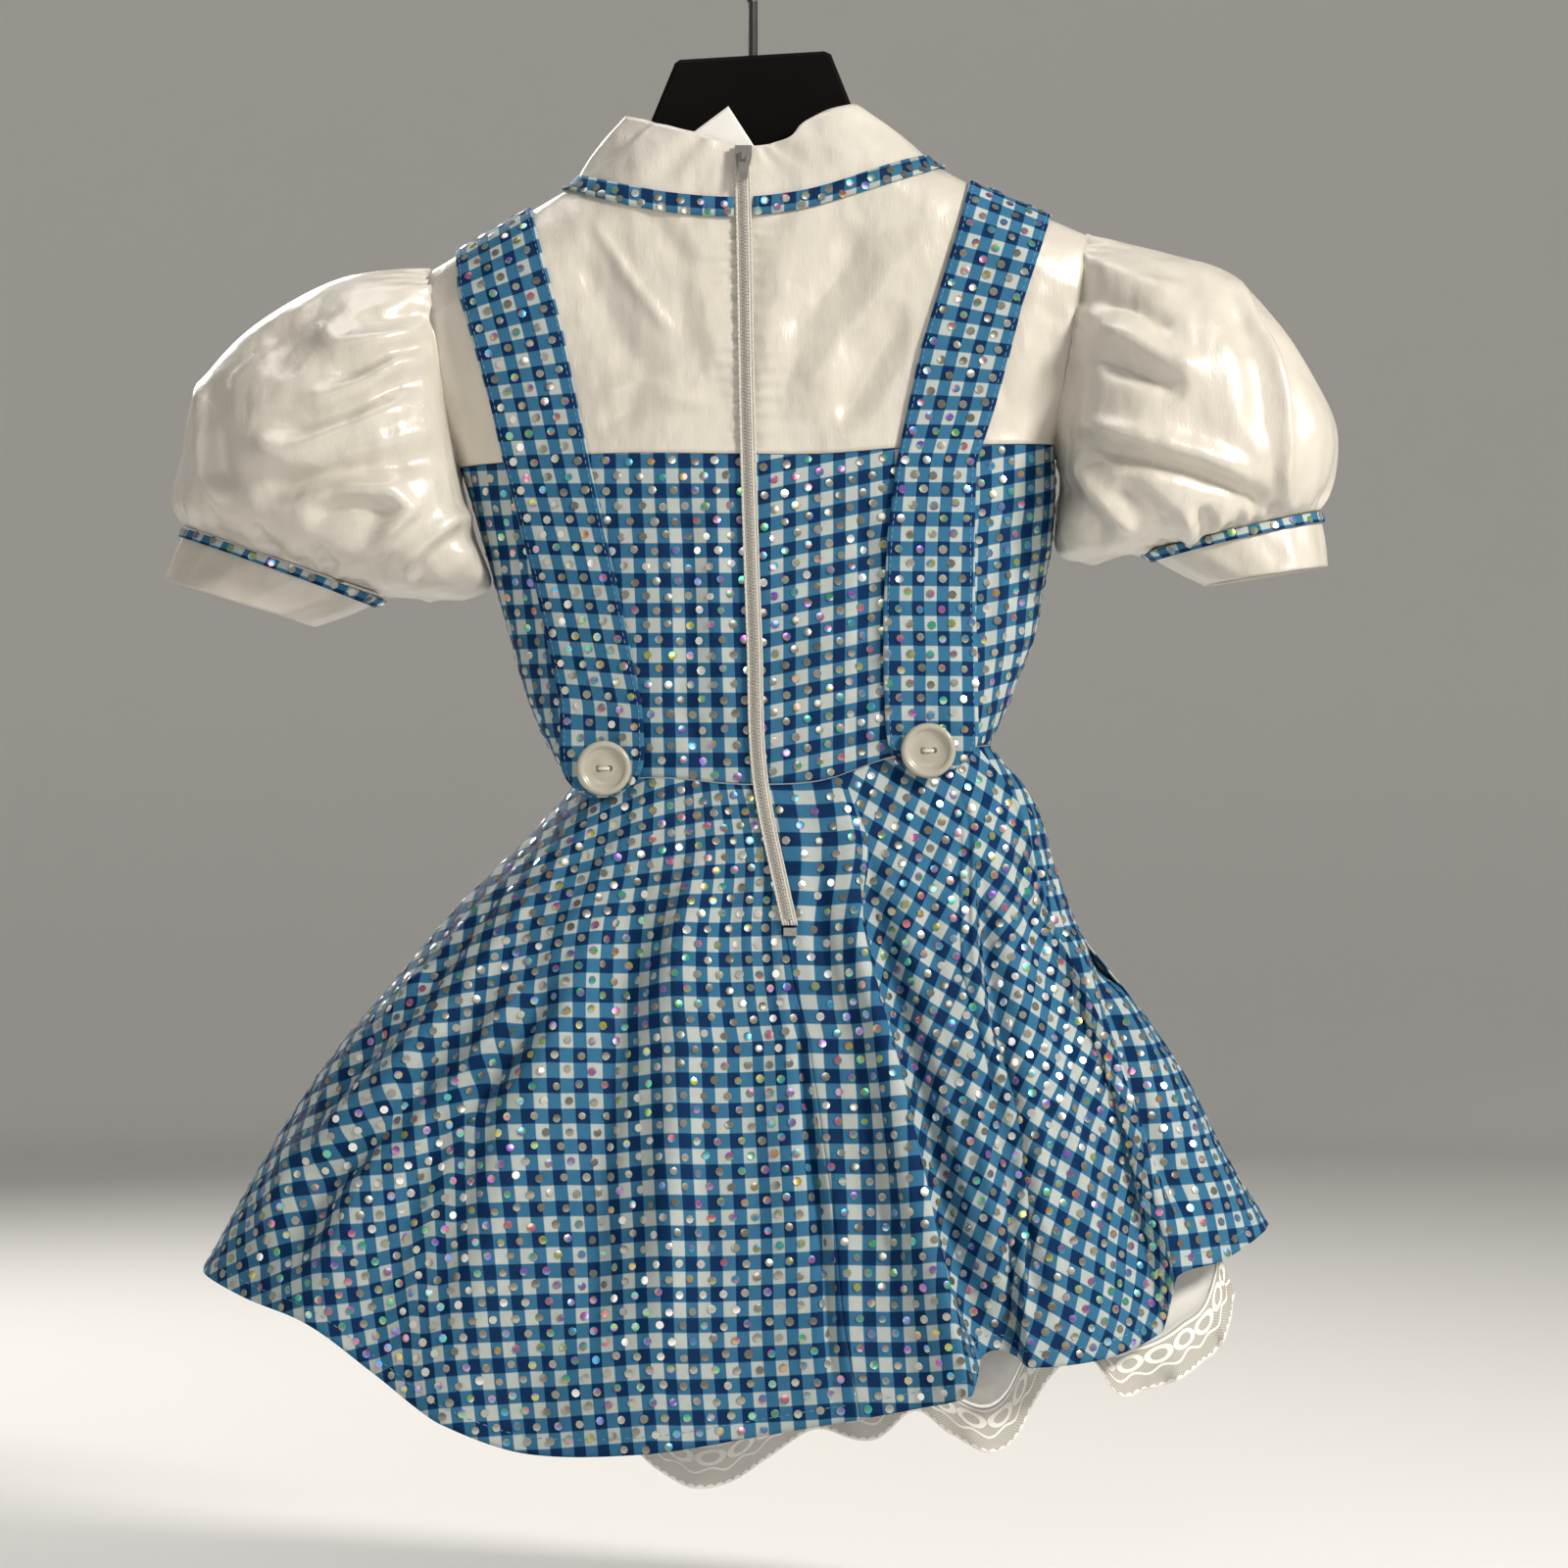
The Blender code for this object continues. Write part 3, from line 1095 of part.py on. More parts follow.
def main():
    for old in list(bpy.data.objects):
        bpy.data.objects.remove(old, do_unlink=True)
    build_blouse()
    build_bodice()
    build_skirt()
    build_petticoat()
    build_sleeves()
    build_collar()
    build_straps()
    build_buttons()
    build_zip()
    build_label()
    build_hanger()


main()
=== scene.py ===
"""A child's costume dress hanging on a black hanger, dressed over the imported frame.

Tables are in millimetres, in the frame's axes: the hook's inner top is the origin, +Z is up and -Y
faces whoever looks at the dress's back. Every cloth piece is one grid of points on its solid's form.
"""

import math
from collections import namedtuple
from functools import partial

import bpy
import numpy as np
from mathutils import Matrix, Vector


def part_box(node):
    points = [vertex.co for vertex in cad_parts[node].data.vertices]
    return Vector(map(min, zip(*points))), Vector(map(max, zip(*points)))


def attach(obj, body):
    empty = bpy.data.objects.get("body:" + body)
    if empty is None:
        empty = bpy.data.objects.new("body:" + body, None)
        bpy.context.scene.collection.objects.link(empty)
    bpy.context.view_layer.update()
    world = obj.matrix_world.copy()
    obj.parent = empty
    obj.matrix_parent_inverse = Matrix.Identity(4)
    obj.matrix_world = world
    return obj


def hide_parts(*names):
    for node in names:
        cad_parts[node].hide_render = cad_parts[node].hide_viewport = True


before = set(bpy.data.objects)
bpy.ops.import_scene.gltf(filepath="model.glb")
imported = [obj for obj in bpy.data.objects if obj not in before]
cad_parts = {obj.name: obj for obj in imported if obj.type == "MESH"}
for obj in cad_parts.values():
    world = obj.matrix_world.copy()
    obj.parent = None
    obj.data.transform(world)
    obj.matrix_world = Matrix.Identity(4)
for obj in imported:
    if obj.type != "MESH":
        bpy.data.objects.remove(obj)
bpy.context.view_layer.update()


# Hanger: one moulding of matt black plastic with a broad flat neck, and a hook of coated steel
# wire pushed into it. The mould leaves fine grain, and handling leaves it a little paler in patches.
def add_node(tree, kind, **values):
    """A node of a kind, with its plain properties and its sockets set by name."""
    made = tree.nodes.new(kind)
    for name, value in values.items():
        if hasattr(made, name):
            setattr(made, name, value)
        else:
            made.inputs[name.replace("_", " ")].default_value = value
    return made


def number(tree, operation, first, second=None, third=None, clamp=False):
    """A Math node whose inputs are sockets or plain numbers."""
    made = tree.nodes.new("ShaderNodeMath")
    made.operation = operation
    made.use_clamp = clamp
    for place, value in enumerate((first, second, third)):
        if value is None:
            continue
        if isinstance(value, bpy.types.NodeSocket):
            tree.links.new(value, made.inputs[place])
        else:
            made.inputs[place].default_value = value
    return made.outputs[0]


def blend_colour(tree, part, first, second):
    """A colour between two, by a socket; each colour is a socket or red, green and blue."""
    made = tree.nodes.new("ShaderNodeMix")
    made.data_type = "RGBA"
    for socket, value in ((made.inputs[6], first), (made.inputs[7], second)):
        if isinstance(value, bpy.types.NodeSocket):
            tree.links.new(value, socket)
        else:
            socket.default_value = (*value, 1.0)
    tree.links.new(part, made.inputs[0])
    return made.outputs[2]


def new_finish(name, rough, metal=0.0, **sockets):
    """A material with its Principled shader; the shader's constant sockets are set by name."""
    made = bpy.data.materials.new(name)
    made.use_nodes = True
    shader = made.node_tree.nodes["Principled BSDF"]
    shader.inputs["Roughness"].default_value = rough
    shader.inputs["Metallic"].default_value = metal
    for socket, value in sockets.items():
        shader.inputs[socket.replace("_", " ")].default_value = value
    return made, made.node_tree, shader


def object_noise(tree, scale, detail=4.0, stretch=(1.0, 1.0, 1.0)):
    """Noise on Object coordinates, which a Mapping node stretches; scale is in waves per metre."""
    place = tree.nodes.new("ShaderNodeTexCoord")
    turn = tree.nodes.new("ShaderNodeMapping")
    turn.inputs["Scale"].default_value = stretch
    tree.links.new(place.outputs["Object"], turn.inputs["Vector"])
    noise = add_node(tree, "ShaderNodeTexNoise", Scale=scale, Detail=detail)
    tree.links.new(turn.outputs["Vector"], noise.inputs["Vector"])
    return noise.outputs["Fac"]


def relief(tree, shader, height, strength, distance):
    """A Bump node from a height socket into the shader; distance is in metres."""
    bump = add_node(tree, "ShaderNodeBump", Strength=strength, Distance=distance)
    tree.links.new(height, bump.inputs["Height"])
    tree.links.new(bump.outputs["Normal"], shader.inputs["Normal"])
    return bump


def mottled_finish(name, rough, scale, first, second, grain, strength, depth, metal=0.0, worn=None, **sockets):
    """A finish whose colour runs between two by soft noise, which worn may scale or sharpen, with a fine grain
    as its relief. The grain gives its noise's scale, detail and stretch; the depth is in metres."""
    made, tree, shader = new_finish(name, rough, metal, **sockets)
    part = object_noise(tree, scale)
    if worn:
        part = number(tree, worn[0], part, worn[1], clamp=True)
    tree.links.new(blend_colour(tree, part, first, second), shader.inputs["Base Color"])
    relief(tree, shader, object_noise(tree, *grain), strength, depth)
    return made


def paint_solid(node, finish):
    """The frame's own solid keeps its shape and gets the finish."""
    solid = bpy.data.objects[node]
    solid.data.materials.clear()
    solid.data.materials.append(finish)


hanger_black = mottled_finish(
    "hanger_black", 0.62, 14.0, (0.002, 0.002, 0.002), (0.006, 0.006, 0.006), (1400.0, 2.0), 0.12, 0.0004,
    worn=("MULTIPLY", 0.9), Specular_IOR_Level=0.05,
)
hook_black = mottled_finish(
    "hook_black", 0.35, 60.0, (0.008, 0.008, 0.009), (0.025, 0.025, 0.027), (700.0, 2.0), 0.10, 0.0003,
    worn=("MULTIPLY", 0.8), Specular_IOR_Level=0.3,
)
paint_solid("hanger_body", hanger_black)
paint_solid("hanger_hook", hook_black)


# Blouse: white polyester satin, cut as one front and two back halves, with a shine that runs down
# the cloth. Its front and back meet on the shoulder line, and the centre back is closed by the zip.
MM = 0.001
PHOTO_MM = 0.45


def table(columns, *rows):
    """Rows of sizes in millimetres, under named columns."""
    kind = namedtuple("Row", columns)
    return [kind(*row) for row in rows]


def column(rows, name):
    """One named column of a table."""
    return np.array([getattr(row, name) for row in rows], float)


def lerp(start, end, part):
    """The start, plus a part of the way to the end."""
    return start + (end - start) * part


def ease(part):
    """A part from 0 to 1 with level ends: its square times three less twice itself."""
    return part * part * (3 - 2 * part)


def curve(knots, values, at):
    """A smooth curve through values at rising knots, with the slope at each knot from its neighbours."""
    knots, values = np.asarray(knots, float), np.asarray(values, float)
    slopes = np.gradient(values, knots)
    at = np.clip(np.asarray(at, float), knots[0], knots[-1])
    place = np.clip(np.searchsorted(knots, at) - 1, 0, len(knots) - 2)
    span = knots[place + 1] - knots[place]
    part = (at - knots[place]) / span
    start, end = values[place], values[place + 1]
    rise_in, rise_out = slopes[place] * span, slopes[place + 1] * span
    bend = 3 * (end - start) - 2 * rise_in - rise_out
    return start + part * (rise_in + part * (bend + part * (rise_in + rise_out - 2 * (end - start))))


def read(rows, key, name, at):
    """The named column of a table as a smooth curve over its key column."""
    order = np.argsort(column(rows, key))
    return curve(column(rows, key)[order], column(rows, name)[order], at)


TORSO = table(
    "z left right back front square",
    (-430, -78, 103, 49, 49, 2.7), (-410, -83, 105, 48, 48, 2.7), (-391, -94, 109, 47.5, 47.5, 2.7),
    (-376, -101, 116, 47, 47, 2.7), (-358, -107, 123, 46, 46.5, 2.7), (-343, -111, 129, 45.5, 46, 2.6),
    (-322, -117, 133, 44.5, 45.5, 2.6), (-301, -123, 137, 43, 44.5, 2.6), (-268, -133, 139, 41, 43, 2.6),
    (-254, -138.5, 138.5, 39, 41, 2.7), (-225, -152, 153, 36, 38, 2.9), (-199, -158, 160, 33, 35, 3.0),
    (-174, -160, 165, 30, 32, 3.0), (-157, -160, 166, 28, 30, 3.0), (-95, -160, 168, 24, 26, 3.0),
)
SHOULDER = table(
    "x z",
    (-160, -181), (-148, -174), (-117, -155.5), (-86, -137), (-40, -110), (0, -95),
    (40, -100), (83, -125), (100, -134), (125, -145), (153, -157), (165, -162),
)
NECK_BACK = table("x z", (-82, -134.6), (-60, -141), (-35, -145.5), (-4, -147), (25, -143), (55, -134), (83, -125))
NECK_FRONT = table("x z", (-82, -134.6), (-70, -155), (-45, -174), (0, -184), (45, -172), (72, -148), (83, -125))
CHEST_SEAM = table(
    "x z", (-134, -264.5), (-109, -263), (-72, -260), (-4, -260), (30, -260), (68, -257), (138.5, -254),
)
WAIST = table("x z", (-83, -410), (-49, -406), (0, -409), (32, -407), (62, -397), (109, -391))
CENTRE_BACK = table(
    "z x",
    (-110, -5), (-148, -4), (-252, -2), (-342, 1), (-409, 4), (-454, 13), (-472, 17),
    (-514, 25), (-558, 31), (-597, 33), (-625, 37), (-700, 50),
)
ARMHOLE_LEFT = table("z x", (-268, -134), (-225, -142), (-199, -145.5), (-174, -148))
ARMHOLE_RIGHT = table("z x", (-262, 139), (-246, 139.5), (-220, 143), (-194, 148), (-157, 153))
# Creases in the back, from their upper to their lower end, with how far they stand out and how wide they are
TORSO_CREASES = table(
    "x_top z_top x_end z_end depth width",
    (-120, -290, -92, -392, -3.0, 5), (-113, -330, -90, -385, 2.0, 5), (112, -280, 104, -372, -3.0, 5),
    (121, -290, 112, -360, 2.0, 5), (-40, -205, -62, -252, -1.5, 9), (52, -200, 40, -252, -1.5, 10),
    (-28, -375, -22, -405, -1.8, 4), (44, -370, 48, -400, -1.8, 5),
)
CREST_ROUND = 30.0
SEAM_GAP = 0.3


def torso_depth(x, z, side):
    """Depth behind or before the side seams: a squared oval, rounded off to the shoulder line, creased."""
    left, right = read(TORSO, "z", "left", z), read(TORSO, "z", "right", z)
    deep = read(TORSO, "z", "back" if side < 0 else "front", z)
    square = read(TORSO, "z", "square", z)
    across = np.abs((x - (left + right) / 2) / ((right - left) / 2))
    oval = np.clip(1 - np.clip(across, 0, 1) ** square, 0, 1) ** (1 / square)
    below = np.clip((read(SHOULDER, "x", "z", x) - z) / CREST_ROUND, 0, 1)
    crest = np.sqrt(1 - (1 - below) ** 2)
    lift = 0.0
    for fold in TORSO_CREASES:
        run = (z - fold.z_top) / (fold.z_end - fold.z_top)
        line = fold.x_top + (fold.x_end - fold.x_top) * run
        fade = ease(np.clip(np.minimum(run, 1 - run) * 3.5, 0, 1))
        lift = lift + fold.depth * np.exp(-((x - line) / fold.width) ** 2) * fade
    return deep * oval * crest + lift * (1.0 if side < 0 else 0.6) * np.clip(oval * 1.6 - 0.4, 0, 1)


def torso_normal(x, z, side, step=0.4):
    """Outward direction of the torso's cloth, from its depth a small step to each side."""
    slope_x = (torso_depth(x + step, z, side) - torso_depth(x - step, z, side)) / (2 * step)
    slope_z = (torso_depth(x, z + step, side) - torso_depth(x, z - step, side)) / (2 * step)
    normal = np.stack([-slope_x, np.ones_like(slope_x), -slope_z], axis=-1)
    normal /= np.linalg.norm(normal, axis=-1, keepdims=True)
    normal[..., 1] *= side
    return normal


def on_torso(x, z, side, out):
    """Points of the torso's cloth moved out by a distance, kept on their own side of the side seams."""
    x, z = np.broadcast_arrays(np.asarray(x, float), np.asarray(z, float))
    spot = np.stack([x, side * (torso_depth(x, z, side) + SEAM_GAP / 2), z], axis=-1)
    spot = spot + torso_normal(x, z, side) * np.asarray(out, float)[..., None]
    spot[..., 1] = side * np.maximum(side * spot[..., 1], SEAM_GAP / 2)
    return spot


def photo_path(*pixels):
    """Places in the photograph's pixels as places in the frame, in millimetres."""
    return [((x - 768) * PHOTO_MM, -74 - (y - 55) * PHOTO_MM) for x, y in pixels]


def crease(grid, pixels, height, width):
    """A ridge or trough along a line of places in the photograph's pixels: height times a bell of the
    distance to the line, run out to nothing at both ends of the line."""
    spots = grid[..., (0, 2)]
    path = np.array(photo_path(*pixels), float)
    steps = np.linalg.norm(np.diff(path, axis=0), axis=1)
    run_at = np.concatenate([[0], np.cumsum(steps)])
    best = np.full(spots.shape[:-1], 1e9)
    run = np.zeros(spots.shape[:-1])
    for start, end, step, before in zip(path[:-1], path[1:], steps, run_at[:-1]):
        along = np.clip(((spots - start) @ (end - start)) / step ** 2, 0, 1)
        distance = np.linalg.norm(spots - start - along[..., None] * (end - start), axis=-1)
        run = np.where(distance < best, before + along * step, run)
        best = np.minimum(best, distance)
    share = run / run_at[-1]
    fade = ease(np.clip(np.minimum(share, 1 - share) * 4, 0, 1))
    return height * np.exp(-(best / width) ** 2) * fade


def fold_cloth(grid, normal, creases):
    """The grid moved out by each crease in turn, each counted on the grid that the last one left."""
    for height, width, *pixels in creases:
        grid = grid + normal * crease(grid, pixels, height, width)[..., None]
    return grid


def grid_normals(grid, around, hint):
    """Unit normals of a grid of points, turned to the side of the outward hint."""
    if around:
        across = np.roll(grid, -1, axis=1) - np.roll(grid, 1, axis=1)
    else:
        across = np.gradient(grid, axis=1)
    normal = np.cross(across, np.gradient(grid, axis=0))
    normal /= np.maximum(np.linalg.norm(normal, axis=-1, keepdims=True), 1e-9)
    return normal * np.sign(np.sum(normal * hint))


def arc_lengths(grid):
    """Distances across from the first column and down from the first row, along the cloth."""
    across = np.linalg.norm(np.diff(grid, axis=1), axis=-1)
    down = np.linalg.norm(np.diff(grid, axis=0), axis=-1)
    across = np.concatenate([np.zeros((len(grid), 1)), np.cumsum(across, axis=1)], axis=1)
    down = np.concatenate([np.zeros((1, grid.shape[1])), np.cumsum(down, axis=0)], axis=0)
    return across, down


def arc_uv(grid):
    """Flat coordinates in metres: the distances across and down along the cloth."""
    return np.stack(arc_lengths(grid), axis=-1) * MM


def grid_faces(grid, around=False):
    """The quads between a grid's points; around closes the last column onto the first."""
    spot = np.arange(grid.shape[0] * grid.shape[1]).reshape(grid.shape[:2])
    if around:
        spot = np.concatenate([spot, spot[:, :1]], axis=1)
    return np.stack([spot[:-1, :-1], spot[:-1, 1:], spot[1:, 1:], spot[1:, :-1]], axis=-1).reshape(-1, 4)


def add_mesh(name, points, faces, finish, slot=None, smooth=True):
    """An object of points in millimetres and of faces. With a slot it hangs with the dress."""
    mesh = bpy.data.meshes.new(name)
    mesh.from_pydata((points.reshape(-1, 3) * MM).tolist(), [], faces)
    if smooth:
        mesh.shade_smooth()
    mesh.materials.append(finish)
    made = bpy.data.objects.new(name, mesh)
    bpy.context.scene.collection.objects.link(made)
    if slot:
        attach(made, "dress")
    return made


def sew_piece(node, word, grid, flat, finish, hint, slot=None, around=False, thick=0.7, flat_end=None):
    """A cloth piece named for its node and a word for its cloth: its grid as quads facing the hint, its flat
    coordinates in metres as the UV map, and a Solidify that gives it its thickness inwards. It replaces its node
    and hangs with the dress. Where the flat coordinates jump, flat holds each quad's first side and flat_end its
    other side."""
    first, last = (flat[:, :-1], flat[:, 1:]) if flat_end is None else (flat, flat_end)
    faces = grid_faces(grid, around)
    corners = np.stack([first[:-1], last[:-1], last[1:], first[1:]], axis=2).reshape(-1, 4, 2)
    facing = np.sum(np.cross(np.gradient(grid, axis=1), np.gradient(grid, axis=0)) * hint)
    if facing < 0:
        faces, corners = faces[:, ::-1], corners[:, ::-1]
    made = add_mesh(f"{node}_{word}", grid, faces.tolist(), finish, slot or word)
    layer = made.data.uv_layers.new(name="cloth")
    layer.data.foreach_set("uv", corners.ravel())
    wall = made.modifiers.new("thickness", "SOLIDIFY")
    wall.thickness = thick * MM
    wall.offset = -1.0
    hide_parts(node)
    return made


def satin_group():
    """Shared satin effect: fine floats along the cloth, and faint soft wrinkles, as one height."""
    group = bpy.data.node_groups.new("satin_surface", "ShaderNodeTree")
    group.interface.new_socket("Height", in_out="OUTPUT", socket_type="NodeSocketFloat")
    group.interface.new_socket("Tone", in_out="OUTPUT", socket_type="NodeSocketFloat")
    out = group.nodes.new("NodeGroupOutput")
    soft = object_noise(group, 17.0, 3.0, (1.0, 1.0, 0.6))
    small = object_noise(group, 70.0, 2.0, (1.0, 1.0, 0.5))
    fine = object_noise(group, 900.0, 2.0, (1.0, 1.0, 0.25))
    height = number(group, "ADD", soft, number(group, "MULTIPLY", small, 0.10))
    height = number(group, "ADD", height, number(group, "MULTIPLY", fine, 0.012))
    group.links.new(height, out.inputs["Height"])
    group.links.new(small, out.inputs["Tone"])
    return group


satin_surface = satin_group()


def satin_finish(name, colour, shade):
    """A glossy satin between two colours, with the shared satin surface as its relief."""
    made, tree, shader = new_finish(name, 0.36, Specular_IOR_Level=1.0, Coat_Weight=0.3, Coat_Roughness=0.24)
    effect = tree.nodes.new("ShaderNodeGroup")
    effect.node_tree = satin_surface
    tree.links.new(blend_colour(tree, effect.outputs["Tone"], colour, shade), shader.inputs["Base Color"])
    relief(tree, shader, effect.outputs["Height"], 0.7, 0.016)
    return made


blouse_satin = satin_finish("blouse_satin", (0.66, 0.62, 0.55), (0.55, 0.515, 0.45))


def back_x(z, hand):
    """The centre back seam's edge on one hand."""
    return read(CENTRE_BACK, "z", "x", z) + hand * SEAM_GAP / 2


def blouse_grid(hand, side, from_centre, neck_columns=64, shoulder_columns=30, rows=110):
    """Ruled rows from the neck and shoulder line down to the chest seam, closer together near the top."""
    neck = NECK_BACK if side < 0 else NECK_FRONT
    neck_end = neck[0].x if hand < 0 else neck[-1].x
    tip = (ARMHOLE_LEFT if hand < 0 else ARMHOLE_RIGHT)[-1]
    seam_end = CHEST_SEAM[0].x if hand < 0 else CHEST_SEAM[-1].x
    neck_x = lerp(from_centre, neck_end, np.sin(np.linspace(0, 1, neck_columns + 1) * math.pi / 2))
    shoulder_x = np.linspace(neck_end, tip.x, shoulder_columns + 1)[1:]
    top_x = np.concatenate([neck_x, shoulder_x])
    top_z = np.concatenate([read(neck, "x", "z", neck_x), read(SHOULDER, "x", "z", shoulder_x)])
    low_x = lerp(from_centre, seam_end, np.sin(np.linspace(0, 1, len(top_x)) * math.pi / 2))
    low_z = read(CHEST_SEAM, "x", "z", low_x) + SEAM_GAP / 2
    part = (np.linspace(0, 1, rows) ** 1.8)[:, None]
    x, z = lerp(top_x, low_x, part), lerp(top_z, low_z, part)
    bulge = read(ARMHOLE_LEFT if hand < 0 else ARMHOLE_RIGHT, "z", "x", z[:, -1:]) - x[:, -1:]
    share = (x - x[:, :1]) / (x[:, -1:] - x[:, :1])
    return x + bulge * share ** 4, z


def place_uv(grid, x):
    """Flat coordinates in metres: distance across from where the first column stands, and height."""
    across, _ = arc_lengths(grid)
    across = x[:, :1] + across * np.sign(x[0, -1] - x[0, 0])
    return np.stack([across, -grid[..., 2]], axis=-1) * MM


# Each crease is its height and width in millimetres, then its line in the photograph's pixels
BLOUSE_CREASES = {
    -1: (
        (2.2, 3.2, (604, 226), (640, 285), (694, 356)), (-2.2, 7, (588, 258), (622, 320), (664, 410)),
        (-1.8, 6, (650, 216), (696, 262), (735, 300)), (1.5, 6, (700, 215), (715, 290), (738, 400)),
        (1.6, 6, (596, 430), (650, 396), (732, 420)), (-2.0, 7, (455, 300), (470, 380), (500, 460)),
    ),
    1: (
        (2.3, 9, (935, 230), (900, 300), (850, 370), (800, 440)), (-1.9, 7, (880, 230), (850, 290), (800, 360)),
        (-2.3, 7, (925, 310), (890, 380), (850, 450)), (1.5, 6, (800, 230), (795, 300), (780, 420)),
        (-2.0, 7, (1085, 290), (1060, 370), (1040, 450)),
    ),
}
HANDS = ((-1, "left"), (1, "right"))
OUT_BACK, OUT_FRONT = np.array([0.0, -1.0, 0.0]), np.array([0.0, 1.0, 0.0])
PUCKER = 0.75


def join_halves(halves):
    """A left and a right half, each counted from the centre, as one x and one z from left to right."""
    return [np.concatenate([left[:, ::-1][:, :-1], right], axis=1) for left, right in zip(*halves)]


for hand, word in HANDS:
    x, z = blouse_grid(hand, -1, back_x(np.array(-200.0), hand))
    x[:, 0] = back_x(z[:, 0], hand)
    normal = torso_normal(x, z, -1)
    grid = fold_cloth(on_torso(x, z, -1, np.zeros(x.shape)), normal, BLOUSE_CREASES[hand])
    from_zip = np.abs(x - back_x(z, hand))
    near_zip = np.exp(-from_zip / 6) * np.clip(from_zip / 3, 0, 1)
    pucker = PUCKER * np.sin(z * 0.8 + 1.6 * np.sin(z / 9) + hand) * near_zip
    grid = grid + normal * pucker[..., None]
    grid[..., 1] = np.minimum(grid[..., 1], -SEAM_GAP / 2)
    piece = sew_piece(f"blouse_back_{word}", "satin", grid, place_uv(grid, x), blouse_satin, OUT_BACK)

x, z = join_halves([blouse_grid(hand, 1, 0.0) for hand in (-1, 1)])
front_creases = (*BLOUSE_CREASES[-1][1:3], *BLOUSE_CREASES[1][:3])
grid = fold_cloth(on_torso(x, z, 1, np.zeros(x.shape)), torso_normal(x, z, 1), front_creases)
piece = sew_piece("blouse_front", "satin", grid, place_uv(grid, x), blouse_satin, OUT_FRONT)


# Puff sleeves: full satin sleeves gathered into the armhole and the cuff, so that soft folds fan
# out from both seams. They hang a little crushed, the right one with a sharp crease down its puff.
SLEEVE_LEFT = table(
    "top_x top_z low_x low_z depth",
    (-148.4, -174, -134.4, -268, 20), (-165, -173.5, -131, -281, 37), (-190, -177.5, -126, -299, 49),
    (-217, -191, -120, -317, 57), (-239, -208, -130, -324, 61), (-256, -231, -143, -324.5, 60),
    (-262, -260, -154, -324, 54), (-266, -279, -162.5, -323.5, 43), (-260, -291, -168.5, -322.5, 29),
)
SLEEVE_RIGHT = table(
    "top_x top_z low_x low_z depth",
    (153.4, -157, 139.4, -258, 20), (168, -160.5, 141, -270, 37), (193, -166.5, 140, -284, 49),
    (219, -175, 138.5, -298, 57), (241, -197, 142, -305, 61), (257, -222, 151, -307, 60),
    (267.5, -245, 161, -306.5, 54), (267, -267, 170.5, -304.5, 43), (260, -284, 179, -302, 29),
)
SLEEVE_FOLDS = table(
    "turn_start turn_end run_start run_end height width",
    (0.12, 0.07, 0.08, 0.62, -4.0, 0.022), (0.19, 0.13, 0.05, 0.70, 3.5, 0.030),
    (0.25, 0.22, 0.04, 0.80, -4.5, 0.026), (0.32, 0.30, 0.10, 0.90, 3.0, 0.030),
    (0.39, 0.36, 0.30, 0.95, -3.5, 0.025), (0.90, 0.93, 0.08, 0.60, -4.0, 0.025),
    (0.80, 0.84, 0.05, 0.80, 3.5, 0.030), (0.72, 0.75, 0.05, 0.85, -4.0, 0.026),
    (0.63, 0.66, 0.20, 0.90, 3.0, 0.030),
)
